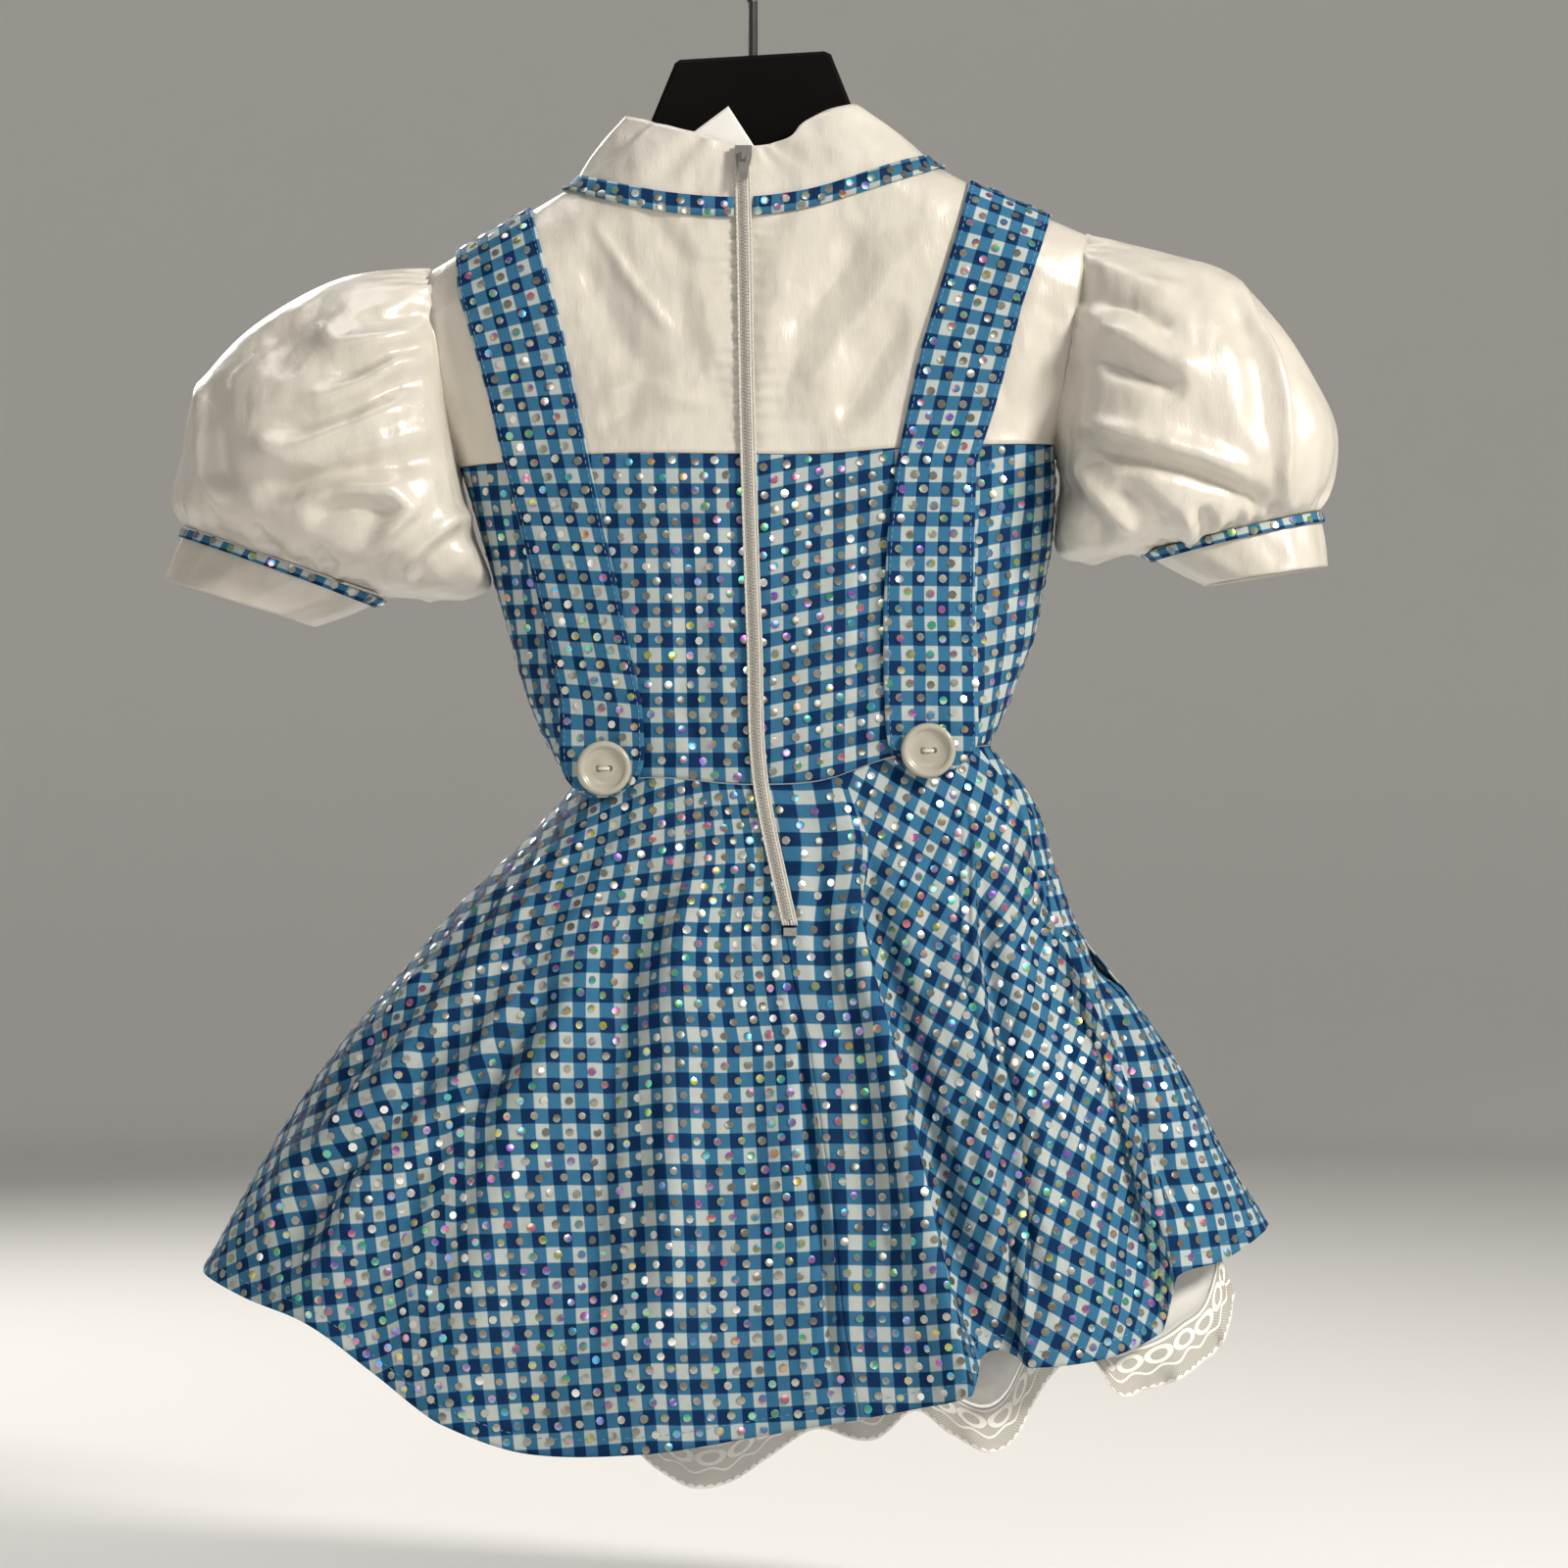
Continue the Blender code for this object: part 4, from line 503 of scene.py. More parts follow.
# As on the blouse: height, width, and the crease's line in the photograph's pixels
SLEEVE_CREASES = {
    -1: (
        (4.2, 3.2, (206, 372), (214, 443), (217, 491), (241, 528), (264, 537)),
        (-4.0, 4.5, (226, 380), (235, 445), (238, 485), (266, 516)),
        (4.0, 4.5, (446, 336), (400, 356), (352, 362), (332, 322)),
        (-3.6, 4.5, (446, 316), (405, 330), (366, 330)),
        (4.6, 5, (448, 372), (413, 378), (386, 399), (349, 416), (306, 420)),
        (-3.8, 3.6, (448, 356), (405, 368), (372, 386), (335, 392)),
        (6.2, 6.5, (452, 408), (413, 425), (359, 448), (305, 472), (244, 458)),
        (-4.2, 4.5, (450, 392), (410, 402), (372, 424), (320, 442), (268, 438)),
        (-6.5, 6.5, (470, 470), (400, 482), (330, 496), (262, 512)),
        (3.0, 5, (460, 440), (420, 452), (350, 478), (300, 486)),
        (4.6, 4, (296, 520), (350, 504), (407, 505), (427, 525), (402, 548), (388, 592)),
        (-4.4, 4.5, (318, 536), (370, 524), (402, 530), (376, 562)),
        (4.2, 4.5, (490, 518), (449, 550), (404, 598)), (-3.6, 4, (488, 542), (457, 566), (424, 602)),
        (-3.2, 3.5, (268, 536), (276, 556), (300, 572)), (-3.0, 3.5, (330, 560), (342, 575), (352, 590)),
        (-2.6, 9, (280, 330), (300, 360), (296, 400)),
    ),
    1: (
        (5.4, 3.2, (1247, 272), (1265, 297), (1286, 356), (1297, 400), (1302, 459), (1299, 488), (1309, 526),
         (1316, 547)),
        (-4.0, 5, (1262, 280), (1284, 320), (1308, 370), (1318, 430), (1320, 490)),
        (-3.4, 6.5, (1236, 296), (1262, 350), (1276, 420), (1282, 476)),
        (-6.5, 4.5, (1077, 444), (1124, 467), (1209, 491), (1277, 517), (1309, 541)),
        (4.6, 5.5, (1080, 430), (1130, 448), (1212, 470), (1284, 498)),
        (3.2, 6, (1106, 276), (1155, 288), (1205, 310)), (-4.0, 5, (1105, 308), (1150, 322), (1196, 352)),
        (4.4, 5, (1103, 340), (1140, 350), (1180, 376), (1226, 390)),
        (-4.0, 5, (1098, 366), (1150, 386), (1205, 412)), (4.8, 4, (1091, 462), (1112, 511), (1162, 560)),
        (-4.2, 4.5, (1078, 484), (1096, 522), (1128, 564)), (-3.6, 5, (1128, 494), (1160, 520), (1190, 552)),
        (4.0, 3.8, (1196, 514), (1207, 548), (1232, 544), (1248, 520)),
        (-3.0, 3, (1216, 520), (1222, 540), (1232, 528)), (-3.4, 3.6, (1245, 566), (1262, 548), (1288, 536)),
    ),
}
# How far the sleeve's edge is tucked under the blouse's edge
TUCK = 0.8
SLEEVE_TURNS = 216
SLEEVE_RUNS = np.concatenate([
    np.linspace(0, 0.1, 12), np.linspace(0.1, 0.9, 54)[1:], np.linspace(0.9, 1, 12)[1:],
])


def tube_points(rows, turn, run):
    """Sections between the upper and lower outline; a turn goes from the top round the back to below."""
    knots = np.linspace(0, 1, len(rows))
    top_x, top_z, low_x, low_z, depth = [curve(knots, column(rows, name), run) for name in rows[0]._fields]
    swing = np.cos(turn * 2 * math.pi)
    x = (top_x + low_x) / 2 + (top_x - low_x) / 2 * swing
    z = (top_z + low_z) / 2 + (top_z - low_z) / 2 * swing
    return np.stack([x, -depth * np.sin(turn * 2 * math.pi), z], axis=-1)


def sleeve_lift(turn, run, seed):
    """The solid's nine big gathers and soft folds, with finer uneven gathers that die away from each seam."""
    near_top = np.clip(0.5 + np.cos(turn * 2 * math.pi), 0, 1)
    fade = np.exp(-run / 0.11) * near_top + 0.8 * np.exp(-(1 - run) / 0.10)
    lift = 2.2 * np.cos(turn * 2 * math.pi * 9) * fade
    for fold in SLEEVE_FOLDS:
        part = (run - fold.run_start) / (fold.run_end - fold.run_start)
        line = lerp(fold.turn_start, fold.turn_end, part)
        window = np.clip(np.minimum(part, 1 - part) * 4, 0, 1)
        lift = lift + 0.45 * fold.height * np.exp(-((turn - line) / fold.width) ** 2) * window
    bend = 0.012 * np.sin(turn * 2 * math.pi * 3 + seed) + 0.006 * np.sin(turn * 2 * math.pi * 7 + 2 * seed)
    fine = np.cos((turn + bend) * 2 * math.pi * 27) * (0.6 + 0.4 * np.sin(turn * 2 * math.pi * 5 + seed))
    lift = lift + fine * (1.9 * np.exp(-run / 0.06) * near_top + 1.8 * np.exp(-(1 - run) / 0.10))
    return lift * np.clip(run * 34, 0, 1) * np.clip((1 - run) * 20, 0, 1)


def sleeve_grid(rows, hand, turns, runs):
    """Tube points with the armhole's own curve as the first ring, moved out by the folds."""
    turn, run = np.broadcast_arrays(np.arange(turns)[None, :] / turns, runs[:, None])
    grid = tube_points(rows, turn, run)
    edge = ARMHOLE_LEFT if hand < 0 else ARMHOLE_RIGHT
    ring_x = read(edge, "z", "x", grid[0, :, 2])
    least = 0.5 * np.abs(grid[0, :, 1])
    behind, before = [np.maximum(torso_depth(ring_x, grid[0, :, 2], side), least) for side in (-1, 1)]
    ring_y = np.where(grid[0, :, 1] > 0, before, -behind)
    near = ease(np.clip(1 - runs / 0.10, 0, 1)[:, None])
    grid[..., 0] = lerp(grid[..., 0], ring_x - hand * TUCK, near)
    grid[..., 1] = lerp(grid[..., 1], ring_y * 0.98, near)
    outward = grid - grid.mean(axis=1, keepdims=True)
    normal = grid_normals(grid, True, outward)
    lift = sleeve_lift(turn, run, hand)
    behind, before = np.clip(-grid[..., 1] / 12, 0, 1), np.clip(grid[..., 1] / 12, 0, 1)
    lower = grid + np.array([0.0, 0.0, 7.0])
    for height, width, *pixels in SLEEVE_CREASES[hand]:
        fold = crease(grid, pixels, height, width) * behind - 0.8 * crease(lower, pixels, height, width) * before
        lift = lift + fold * np.clip(run * 16, 0, 1) * np.clip((1 - run) * 16, 0, 1)
    grid = grid + normal * lift[..., None]
    z = grid[..., 2]
    arm = read(edge, "z", "x", z) - hand * np.where(run < 0.02, TUCK, -0.5)
    side = read(TORSO, "z", "left" if hand < 0 else "right", z) + hand * 0.8
    limit = np.where(z > edge[0].z, arm, side)
    grid[..., 0] = hand * np.maximum(hand * grid[..., 0], hand * limit)
    return grid, outward


def tube_uv(grid):
    """Flat coordinates in metres of a tube, with one more column than the tube for its closing edge."""
    return arc_uv(np.concatenate([grid, grid[:, :1]], axis=1))


sleeve_satin = satin_finish("sleeve_satin", (0.68, 0.64, 0.57), (0.56, 0.525, 0.46))
for (hand, word), rows in zip(HANDS, (SLEEVE_LEFT, SLEEVE_RIGHT)):
    grid, outward = sleeve_grid(rows, hand, SLEEVE_TURNS, SLEEVE_RUNS)
    piece = sew_piece(f"sleeve_{word}", "satin", grid, tube_uv(grid), sleeve_satin, outward, around=True)


# Cuffs: straight satin bands sewn to the gathered sleeve edge, their seam covered by a narrow
# strip of the sequinned gingham.
CUFF_LEFT = table(
    "top_x top_z low_x low_z depth",
    (-260.4, -292.4, -169.2, -324.2, 29), (-265, -303, -184, -331, 30), (-270, -315, -201, -337, 30),
)
CUFF_RIGHT = table(
    "top_x top_z low_x low_z depth",
    (260.3, -284.8, 179.5, -302.9, 29), (262.5, -297, 193, -311, 30), (264, -309, 207, -318, 30),
)
CUFF_TURNS, CUFF_ROWS = 160, 18
# How far the trims stand out from the seam, and where the cuff's trim starts and ends along the cuff
TRIM_OUT = 1.7
TRIM_START, TRIM_END, TRIM_ROWS = -0.02, 0.17, 5
# One repeat of the checks in metres, across and down, and the pitch of the threads
CHECK_ACROSS, CHECK_DOWN, THREAD_PITCH = 0.0113, 0.0135, 0.0007


def gingham_group():
    """Shared gingham effect. The flat coordinates are counted in repeats of the check, half of each blue.
    Where one set of blue threads runs the cloth is mid blue, where both cross it is dark."""
    group = bpy.data.node_groups.new("gingham_check", "ShaderNodeTree")
    group.interface.new_socket("Color", in_out="OUTPUT", socket_type="NodeSocketColor")
    group.interface.new_socket("Height", in_out="OUTPUT", socket_type="NodeSocketFloat")
    out = group.nodes.new("NodeGroupOutput")
    flat = add_node(group, "ShaderNodeUVMap", uv_map="cloth")
    parts = group.nodes.new("ShaderNodeSeparateXYZ")
    group.links.new(flat.outputs["UV"], parts.inputs["Vector"])
    stripes, threads = [], []
    for axis, repeat in (("X", CHECK_ACROSS), ("Y", CHECK_DOWN)):
        counted = number(group, "MULTIPLY", parts.outputs[axis], 1 / repeat)
        wave = number(group, "PINGPONG", counted, 0.5)
        edge = add_node(group, "ShaderNodeMapRange", interpolation_type="SMOOTHSTEP")
        edge.inputs["From Min"].default_value = 0.225
        edge.inputs["From Max"].default_value = 0.275
        group.links.new(wave, edge.inputs["Value"])
        stripes.append(edge.outputs["Result"])
        phase = number(group, "MULTIPLY", parts.outputs[axis], 2 * math.pi / THREAD_PITCH)
        threads.append(number(group, "SINE", phase))
    either = number(group, "MAXIMUM", stripes[0], stripes[1])
    both = number(group, "MULTIPLY", stripes[0], stripes[1])
    worn = object_noise(group, 220.0, 3.0)
    white = blend_colour(group, worn, (0.52, 0.575, 0.56), (0.42, 0.475, 0.47))
    mid = blend_colour(group, worn, (0.025, 0.140, 0.270), (0.045, 0.170, 0.305))
    dark = blend_colour(group, worn, (0.0002, 0.020, 0.080), (0.0004, 0.028, 0.105))
    colour = blend_colour(group, both, blend_colour(group, either, white, mid), dark)
    group.links.new(colour, out.inputs["Color"])
    weave = number(group, "MULTIPLY", threads[0], threads[1])
    soft = object_noise(group, 45.0, 3.0, (1.0, 1.0, 0.6))
    height = number(group, "ADD", number(group, "MULTIPLY", weave, 0.05), soft)
    group.links.new(height, out.inputs["Height"])
    return group


gingham, tree, shader = new_finish("gingham", 0.5, Specular_IOR_Level=0.1)
check = tree.nodes.new("ShaderNodeGroup")
check.node_tree = gingham_group()
tree.links.new(check.outputs["Color"], shader.inputs["Base Color"])
relief(tree, shader, check.outputs["Height"], 0.5, 0.004)

foil, tree, shader = new_finish("sequin_foil", 0.2, 0.75, Coat_Weight=0.6, Coat_Roughness=0.08)
colour = add_node(tree, "ShaderNodeVertexColor", layer_name="foil")
grain = number(tree, "MULTIPLY", object_noise(tree, 1500.0, 2.0), 0.3)
tree.links.new(blend_colour(tree, grain, colour.outputs["Color"], (0.45, 0.45, 0.42)), shader.inputs["Base Color"])

# Disc tones: three greys of the foil, and a white that is a painted glint; then the share of each
SEQUIN_GREYS_AND_GLINT_WHITE = np.array([(0.40, 0.40, 0.35), (0.26, 0.26, 0.22), (0.54, 0.54, 0.49), (1.0, 1.0, 1.0)])
SEQUIN_SHARES = (0.36, 0.32, 0.27, 0.05)
# Hues painted on some discs as the foil's iridescent reflections, and below them the share of discs that get them
SEQUIN_HUES = np.array([
    (0.03, 0.62, 0.36), (0.75, 0.15, 0.30), (0.30, 0.12, 0.78), (0.03, 0.42, 0.80), (0.60, 0.58, 0.08),
])
PAINTED_IRIDESCENCE_SHARE = 0.5
# Spots where discs are painted white as gathered glints, as in the photograph, how far that reaches, and how many
# of them are painted so
PAINTED_GLINT_SPOTS = photo_path(
    (680, 1310), (790, 950), (1010, 1010), (1085, 1110), (780, 560), (430, 1180), (1230, 1150),
)
PAINTED_GLINT_REACH, PAINTED_GLINT_SHARE = 24.0, 0.55
SEQUIN_RADIUS, SEQUIN_SIDES, SEQUIN_RISE = 1.9, 8, 0.18
SEQUIN_ACROSS, SEQUIN_DOWN = 10.0, 6.75


def sew_sequins(name, grid, flat, hint, seed, around=False, margin=1.4, lift=0.35, rows_only=None):
    """Flat foil discs on a staggered lattice in the cloth's own flat coordinates. Each lattice place finds its
    nearest grid point, and steps from there to its own place along the grid's two directions."""
    chance = np.random.default_rng(seed)
    if around:
        grid, hint = [np.concatenate([part, part[:, :1]], axis=1) for part in (grid, hint)]
    flat = flat / MM
    low, high = flat.reshape(-1, 2).min(0), flat.reshape(-1, 2).max(0)
    rows = np.arange(math.floor(low[1] / SEQUIN_DOWN), math.ceil(high[1] / SEQUIN_DOWN) + 1)
    if rows_only is not None:
        rows = np.asarray(rows_only, float)
    steps = np.arange(math.floor(low[0] / SEQUIN_ACROSS) - 1, math.ceil(high[0] / SEQUIN_ACROSS) + 1)
    across, down = np.meshgrid(steps, rows)
    spots = np.stack([(across + 0.5 * (down % 2)) * SEQUIN_ACROSS, down * SEQUIN_DOWN], axis=-1).reshape(-1, 2)
    spots = spots + chance.normal(0, 0.45, spots.shape)
    known = flat.reshape(-1, 2)
    nearest = np.concatenate([
        np.argmin(((part[:, None] - known[None]) ** 2).sum(-1), axis=1)
        for part in np.array_split(spots, len(spots) // 200 + 1)
    ])
    row, col = np.divmod(nearest, flat.shape[1])
    flat_col, flat_row = np.gradient(flat, axis=1)[row, col], np.gradient(flat, axis=0)[row, col]
    step_col, step_row = np.gradient(grid, axis=1)[row, col], np.gradient(grid, axis=0)[row, col]
    offset = spots - flat[row, col]
    scale = flat_col[:, 0] * flat_row[:, 1] - flat_col[:, 1] * flat_row[:, 0]
    scale = np.where(np.abs(scale) < 1e-9, 1e-9, scale)
    part_col = (offset[:, 0] * flat_row[:, 1] - offset[:, 1] * flat_row[:, 0]) / scale
    part_row = (flat_col[:, 0] * offset[:, 1] - flat_col[:, 1] * offset[:, 0]) / scale
    inside = (np.abs(part_col) < 0.8) & (np.abs(part_row) < 0.8)
    wide = np.maximum(np.linalg.norm(step_col, axis=1), 1e-6)
    tall = np.maximum(np.linalg.norm(step_row, axis=1), 1e-6)
    if not around:
        inside &= ((col + part_col) * wide > margin) & ((flat.shape[1] - 1 - col - part_col) * wide > margin)
    inside &= ((row + part_row) * tall > margin) & ((flat.shape[0] - 1 - row - part_row) * tall > margin)
    middle = grid[row, col] + step_col * part_col[:, None] + step_row * part_row[:, None]
    normal = np.cross(step_col, step_row)
    normal /= np.maximum(np.linalg.norm(normal, axis=1, keepdims=True), 1e-9)
    middle, normal, first = middle[inside], normal[inside], step_col[inside] / wide[inside, None]
    whole = np.cross(np.gradient(grid, axis=1), np.gradient(grid, axis=0))
    normal = normal * np.sign(np.sum(whole * hint))
    count = len(middle)
    second = np.cross(normal, first)
    tilt = chance.normal(0, 0.07, (count, 2))
    normal = normal + first * tilt[:, :1] + second * tilt[:, 1:]
    normal /= np.linalg.norm(normal, axis=1, keepdims=True)
    first = first - normal * np.sum(first * normal, axis=1, keepdims=True)
    first /= np.linalg.norm(first, axis=1, keepdims=True)
    second = np.cross(normal, first)
    angle = np.arange(SEQUIN_SIDES) * 2 * math.pi / SEQUIN_SIDES
    size = chance.normal(SEQUIN_RADIUS, 0.08, count)[:, None, None]
    ring = np.cos(angle)[None, :, None] * first[:, None] + np.sin(angle)[None, :, None] * second[:, None]
    rim = middle[:, None] + size * ring + normal[:, None] * lift
    centre = middle + normal * (lift + SEQUIN_RISE)
    corner = np.arange(SEQUIN_SIDES)
    fan = np.stack([0 * corner, corner + 1, (corner + 1) % SEQUIN_SIDES + 1], axis=1)
    each = SEQUIN_SIDES + 1
    faces = (fan[None] + np.arange(count)[:, None, None] * each).reshape(-1, 3)
    shade = SEQUIN_GREYS_AND_GLINT_WHITE[chance.choice(len(SEQUIN_GREYS_AND_GLINT_WHITE), count, p=SEQUIN_SHARES)]
    shade = shade * chance.uniform(0.85, 1.15, (count, 1))
    # Discs near the glint spots are painted white: painted glints, not the foil's own colour
    away = np.linalg.norm(middle[:, None, (0, 2)] - np.array(PAINTED_GLINT_SPOTS)[None], axis=-1).min(1)
    painted_glint = chance.random(count) < PAINTED_GLINT_SHARE * np.exp(-(away / PAINTED_GLINT_REACH) ** 2)
    shade = np.where(painted_glint[:, None], SEQUIN_GREYS_AND_GLINT_WHITE[-1], shade).repeat(each, axis=0)
    pick = chance.integers(0, len(SEQUIN_HUES), count * each // 3 + 1)
    hue = SEQUIN_HUES[pick].repeat(3, axis=0)[:len(shade)]
    # The zone gathers the painted iridescent reflections in broad bands across the dress
    zone = 0.5 + 0.5 * np.sin(middle[:, 0] / 19 + 1.7) * np.cos(middle[:, 2] / 23)
    painted_iridescence = (chance.random(count) < PAINTED_IRIDESCENCE_SHARE * (0.3 + 1.4 * zone)).repeat(each)
    painted_iridescence &= (chance.random(len(shade)) < 0.75) & ~painted_glint.repeat(each)
    shade = np.where(painted_iridescence[:, None], hue, shade)
    rgba = np.concatenate([np.clip(shade, 0, 1), np.ones((len(shade), 1))], axis=1)
    made = add_mesh(name, np.concatenate([centre[:, None], rim], axis=1), faces.tolist(), foil, "gingham")
    layer = made.data.color_attributes.new("foil", "FLOAT_COLOR", "POINT")
    layer.data.foreach_set("color", rgba.ravel())
    return made


turn, run = np.broadcast_arrays(np.arange(CUFF_TURNS)[None, :] / CUFF_TURNS, np.linspace(0, 1, CUFF_ROWS)[:, None])
trim_turn, trim_run = turn[:TRIM_ROWS], np.linspace(TRIM_START, TRIM_END, TRIM_ROWS)[:, None, None]
for (hand, word), rows in zip(HANDS, (CUFF_LEFT, CUFF_RIGHT)):
    grid = tube_points(rows, turn, run)
    outward = grid - grid.mean(axis=1, keepdims=True)
    normal = grid_normals(grid, True, outward)
    ripple = 0.7 * np.sin(turn * 2 * math.pi * 9 + hand) * np.sin(run * math.pi) * np.sin(turn * 2 * math.pi * 4)
    grid = grid + normal * ripple[..., None]
    piece = sew_piece(f"cuff_{word}", "satin", grid, tube_uv(grid), blouse_satin, outward, around=True)
    start = tube_points(rows, trim_turn, np.zeros(trim_turn.shape))
    ahead = (tube_points(rows, trim_turn, np.full(trim_turn.shape, TRIM_END)) - start) / TRIM_END
    strip = start + ahead * trim_run
    outward = strip - strip.mean(axis=1, keepdims=True)
    strip = strip + grid_normals(strip, True, outward) * TRIM_OUT
    discs = sew_sequins(f"cuff_trim_{word}_sequins", strip, tube_uv(strip), outward, 50 + hand, around=True,
                        margin=0.6, rows_only=(0.3,))
    piece = sew_piece(f"cuff_trim_{word}", "gingham", strip, tube_uv(strip), gingham, outward, around=True)


# Collar: two standing halves of satin that part at the centre back, each rolled slightly outwards,
# with a strip of the sequinned gingham over the neck seam.
COLLAR_LEFT = table(
    "top_x top_z",
    (-7, -118), (-28, -112), (-46, -107), (-59.5, -104), (-53, -127), (-39, -147), (-1.2, -158),
)
COLLAR_RIGHT = table(
    "top_x top_z",
    (-1, -119), (13, -116), (33, -102), (51, -98), (46, -118), (33, -145), (1.2, -158),
)
COLLAR_ROLL, COLLAR_LEAN = 1.6, 0.80
COLLAR_COLUMNS, COLLAR_ROWS = 48, 22
TRIM_REACH, TRIM_CREST, ZIP_HALF = 4.6, 0.7, 4.4


def around_neck(x, z, side, out):
    """Points of the torso's cloth, on the back where side is below nought and on the front elsewhere."""
    return np.where(side[:, None] < 0, on_torso(x, z, -1, out), on_torso(x, z, 1, out))


def neck_stations(hand, columns):
    """Places on the neck seam from the centre back, round the side, to the centre front."""
    reach = np.sin(np.linspace(0, 1, columns + 1) * math.pi / 2)
    end = NECK_BACK[0].x if hand < 0 else NECK_BACK[-1].x
    back_top = lerp(back_x(np.array(-147.0), hand), end, reach)
    front_top = lerp(hand * 1.0, end, reach)[:-1][::-1]
    x = np.concatenate([back_top, front_top])
    z = np.concatenate([read(NECK_BACK, "x", "z", back_top), read(NECK_FRONT, "x", "z", front_top)])
    side = np.concatenate([-np.ones(columns), [0], np.ones(columns)])
    return x, z, side


def collar_grid(rows, hand, up, columns):
    """The collar's outer cloth: the neck seam, the free edge from its table, and a slight roll between."""
    x, z, side = neck_stations(hand, columns)
    low = around_neck(x, z, side, 0 * x)
    low[side == 0, 1] = 0.0
    half = np.linspace(0, 0.5, columns + 1)
    at = np.concatenate([half, 1 - half[:-1][::-1]])
    knots = np.linspace(0, 1, len(rows))
    top_x, top_z = [curve(knots, column(rows, name), at) for name in ("top_x", "top_z")]
    top = np.stack([top_x, low[:, 1] * COLLAR_LEAN, top_z], axis=-1)
    away = low * np.array([1.0, 1.0, 0.0])
    away /= np.linalg.norm(away, axis=-1, keepdims=True)
    low = low + np.array([0.0, 0.0, SEAM_GAP])
    up = up[:, None, None]
    return lerp(low, top, up) + away * COLLAR_ROLL * np.sin(up * math.pi), away


def trim_lower_edge(hand, out, columns):
    """Places on the blouse a little way below the neck seam, down the shoulder line at the side."""
    x, z, side = neck_stations(hand, columns)
    near = np.exp(-((np.arange(len(x)) - columns) / (2.2 * columns / 12)) ** 2)
    slope = (read(SHOULDER, "x", "z", x + hand * TRIM_REACH) - read(SHOULDER, "x", "z", x)) / TRIM_REACH
    move_x = hand * TRIM_REACH * near * 0.9
    move_z = lerp(-TRIM_REACH, slope * TRIM_REACH * 0.9, near)
    out = out + TRIM_CREST * near
    spots = around_neck(x + move_x, z + move_z, side, out)
    middle = side == 0
    spots[middle, 1] = 0.0
    spots[middle, 2] = read(SHOULDER, "x", "z", spots[middle, 0]) + out[middle] + 0.3
    return spots


collar_satin = satin_finish("collar_satin", (0.68, 0.645, 0.585), (0.58, 0.55, 0.49))
for (hand, word), rows in zip(HANDS, (COLLAR_LEFT, COLLAR_RIGHT)):
    high = np.linspace(0, 1, COLLAR_ROWS)
    grid, away = collar_grid(rows, hand, high, COLLAR_COLUMNS)
    at = np.linspace(0, 1, grid.shape[1])[None, :]
    high = high[:, None]
    ripple = 1.1 * np.sin(at * 31 + hand + high) + 0.9 * np.sin(at * 57 + high * 3)
    ripple = ripple + 1.2 * np.sin(at * 90 + high * 5) * np.exp(-at / 0.08)
    grid = grid + away * (ripple * high * np.clip(at * 12, 0, 1) * np.clip((1 - at) * 5, 0, 1))[..., None]
    piece = sew_piece(f"collar_{word}", "satin", grid, arc_uv(grid), collar_satin, away)
    # The trim's rows: below the neck seam, half way, on the seam, and a little way up the collar
    higher, away = collar_grid(rows, hand, np.array([0.0, 0.14]), COLLAR_COLUMNS)
    lowest = trim_lower_edge(hand, TRIM_OUT, COLLAR_COLUMNS)
    strip = np.stack([lowest, higher[0] + away * (TRIM_OUT + 0.8), higher[1] + away * (TRIM_OUT + 0.3)])
    edge = read(CENTRE_BACK, "z", "x", np.array(-147.0)) + hand * ZIP_HALF
    keep = hand * strip[0, :, 0] >= hand * edge
    keep |= np.arange(len(keep)) > 12
    strip = strip[:, keep]
    strip = np.stack([strip[0], lerp(strip[0], strip[1], 0.5), strip[1], strip[2]])
    strip[:, 0, 0] = edge
    flat, out = arc_uv(strip), strip * np.array([1.0, 1.0, 0.0])
    discs = sew_sequins(f"collar_trim_{word}_sequins", strip, flat, out, 60 + hand,
                        margin=0.6, rows_only=(0.36, 0.95))
    piece = sew_piece(f"collar_trim_{word}", "gingham", strip, flat, gingham, out)


# Pinafore bodice: blue and white gingham with flat foil discs sewn on in staggered rows. It is cut
# as one front and two backs, joined to the blouse at the chest seam and closed by the zip.
def bodice_grid(start_top, start_low, hand, columns, rows, start_x=None):
    """Rows that blend the chest seam into the waist, from an inner edge to the side seam."""
    across = np.sin(np.linspace(0, 1, columns) * math.pi / 2)
    down = np.linspace(0, 1, rows)[:, None]
    end_top = CHEST_SEAM[0].x if hand < 0 else CHEST_SEAM[-1].x
    end_low = WAIST[0].x if hand < 0 else WAIST[-1].x
    top_z = read(CHEST_SEAM, "x", "z", lerp(start_top, end_top, across)) - SEAM_GAP / 2
    low_z = read(WAIST, "x", "z", lerp(start_low, end_low, across)) + SEAM_GAP / 2
    z = lerp(top_z, low_z, down)
    side_x = read(TORSO, "z", "left" if hand < 0 else "right", z[:, -1:])
    inner_x = lerp(start_top, start_low, down) if start_x is None else start_x(z[:, :1])
    return lerp(inner_x, side_x, across), z


def check_uv(flat, across, down):
    """Flat coordinates turned so that one repeat lies along each of two steps, given in photograph pixels."""
    frame_steps = np.array([across, down], float).T * PHOTO_MM * MM
    repeats = flat @ np.linalg.inv(frame_steps).T
    return repeats * np.array([CHECK_ACROSS, CHECK_DOWN])


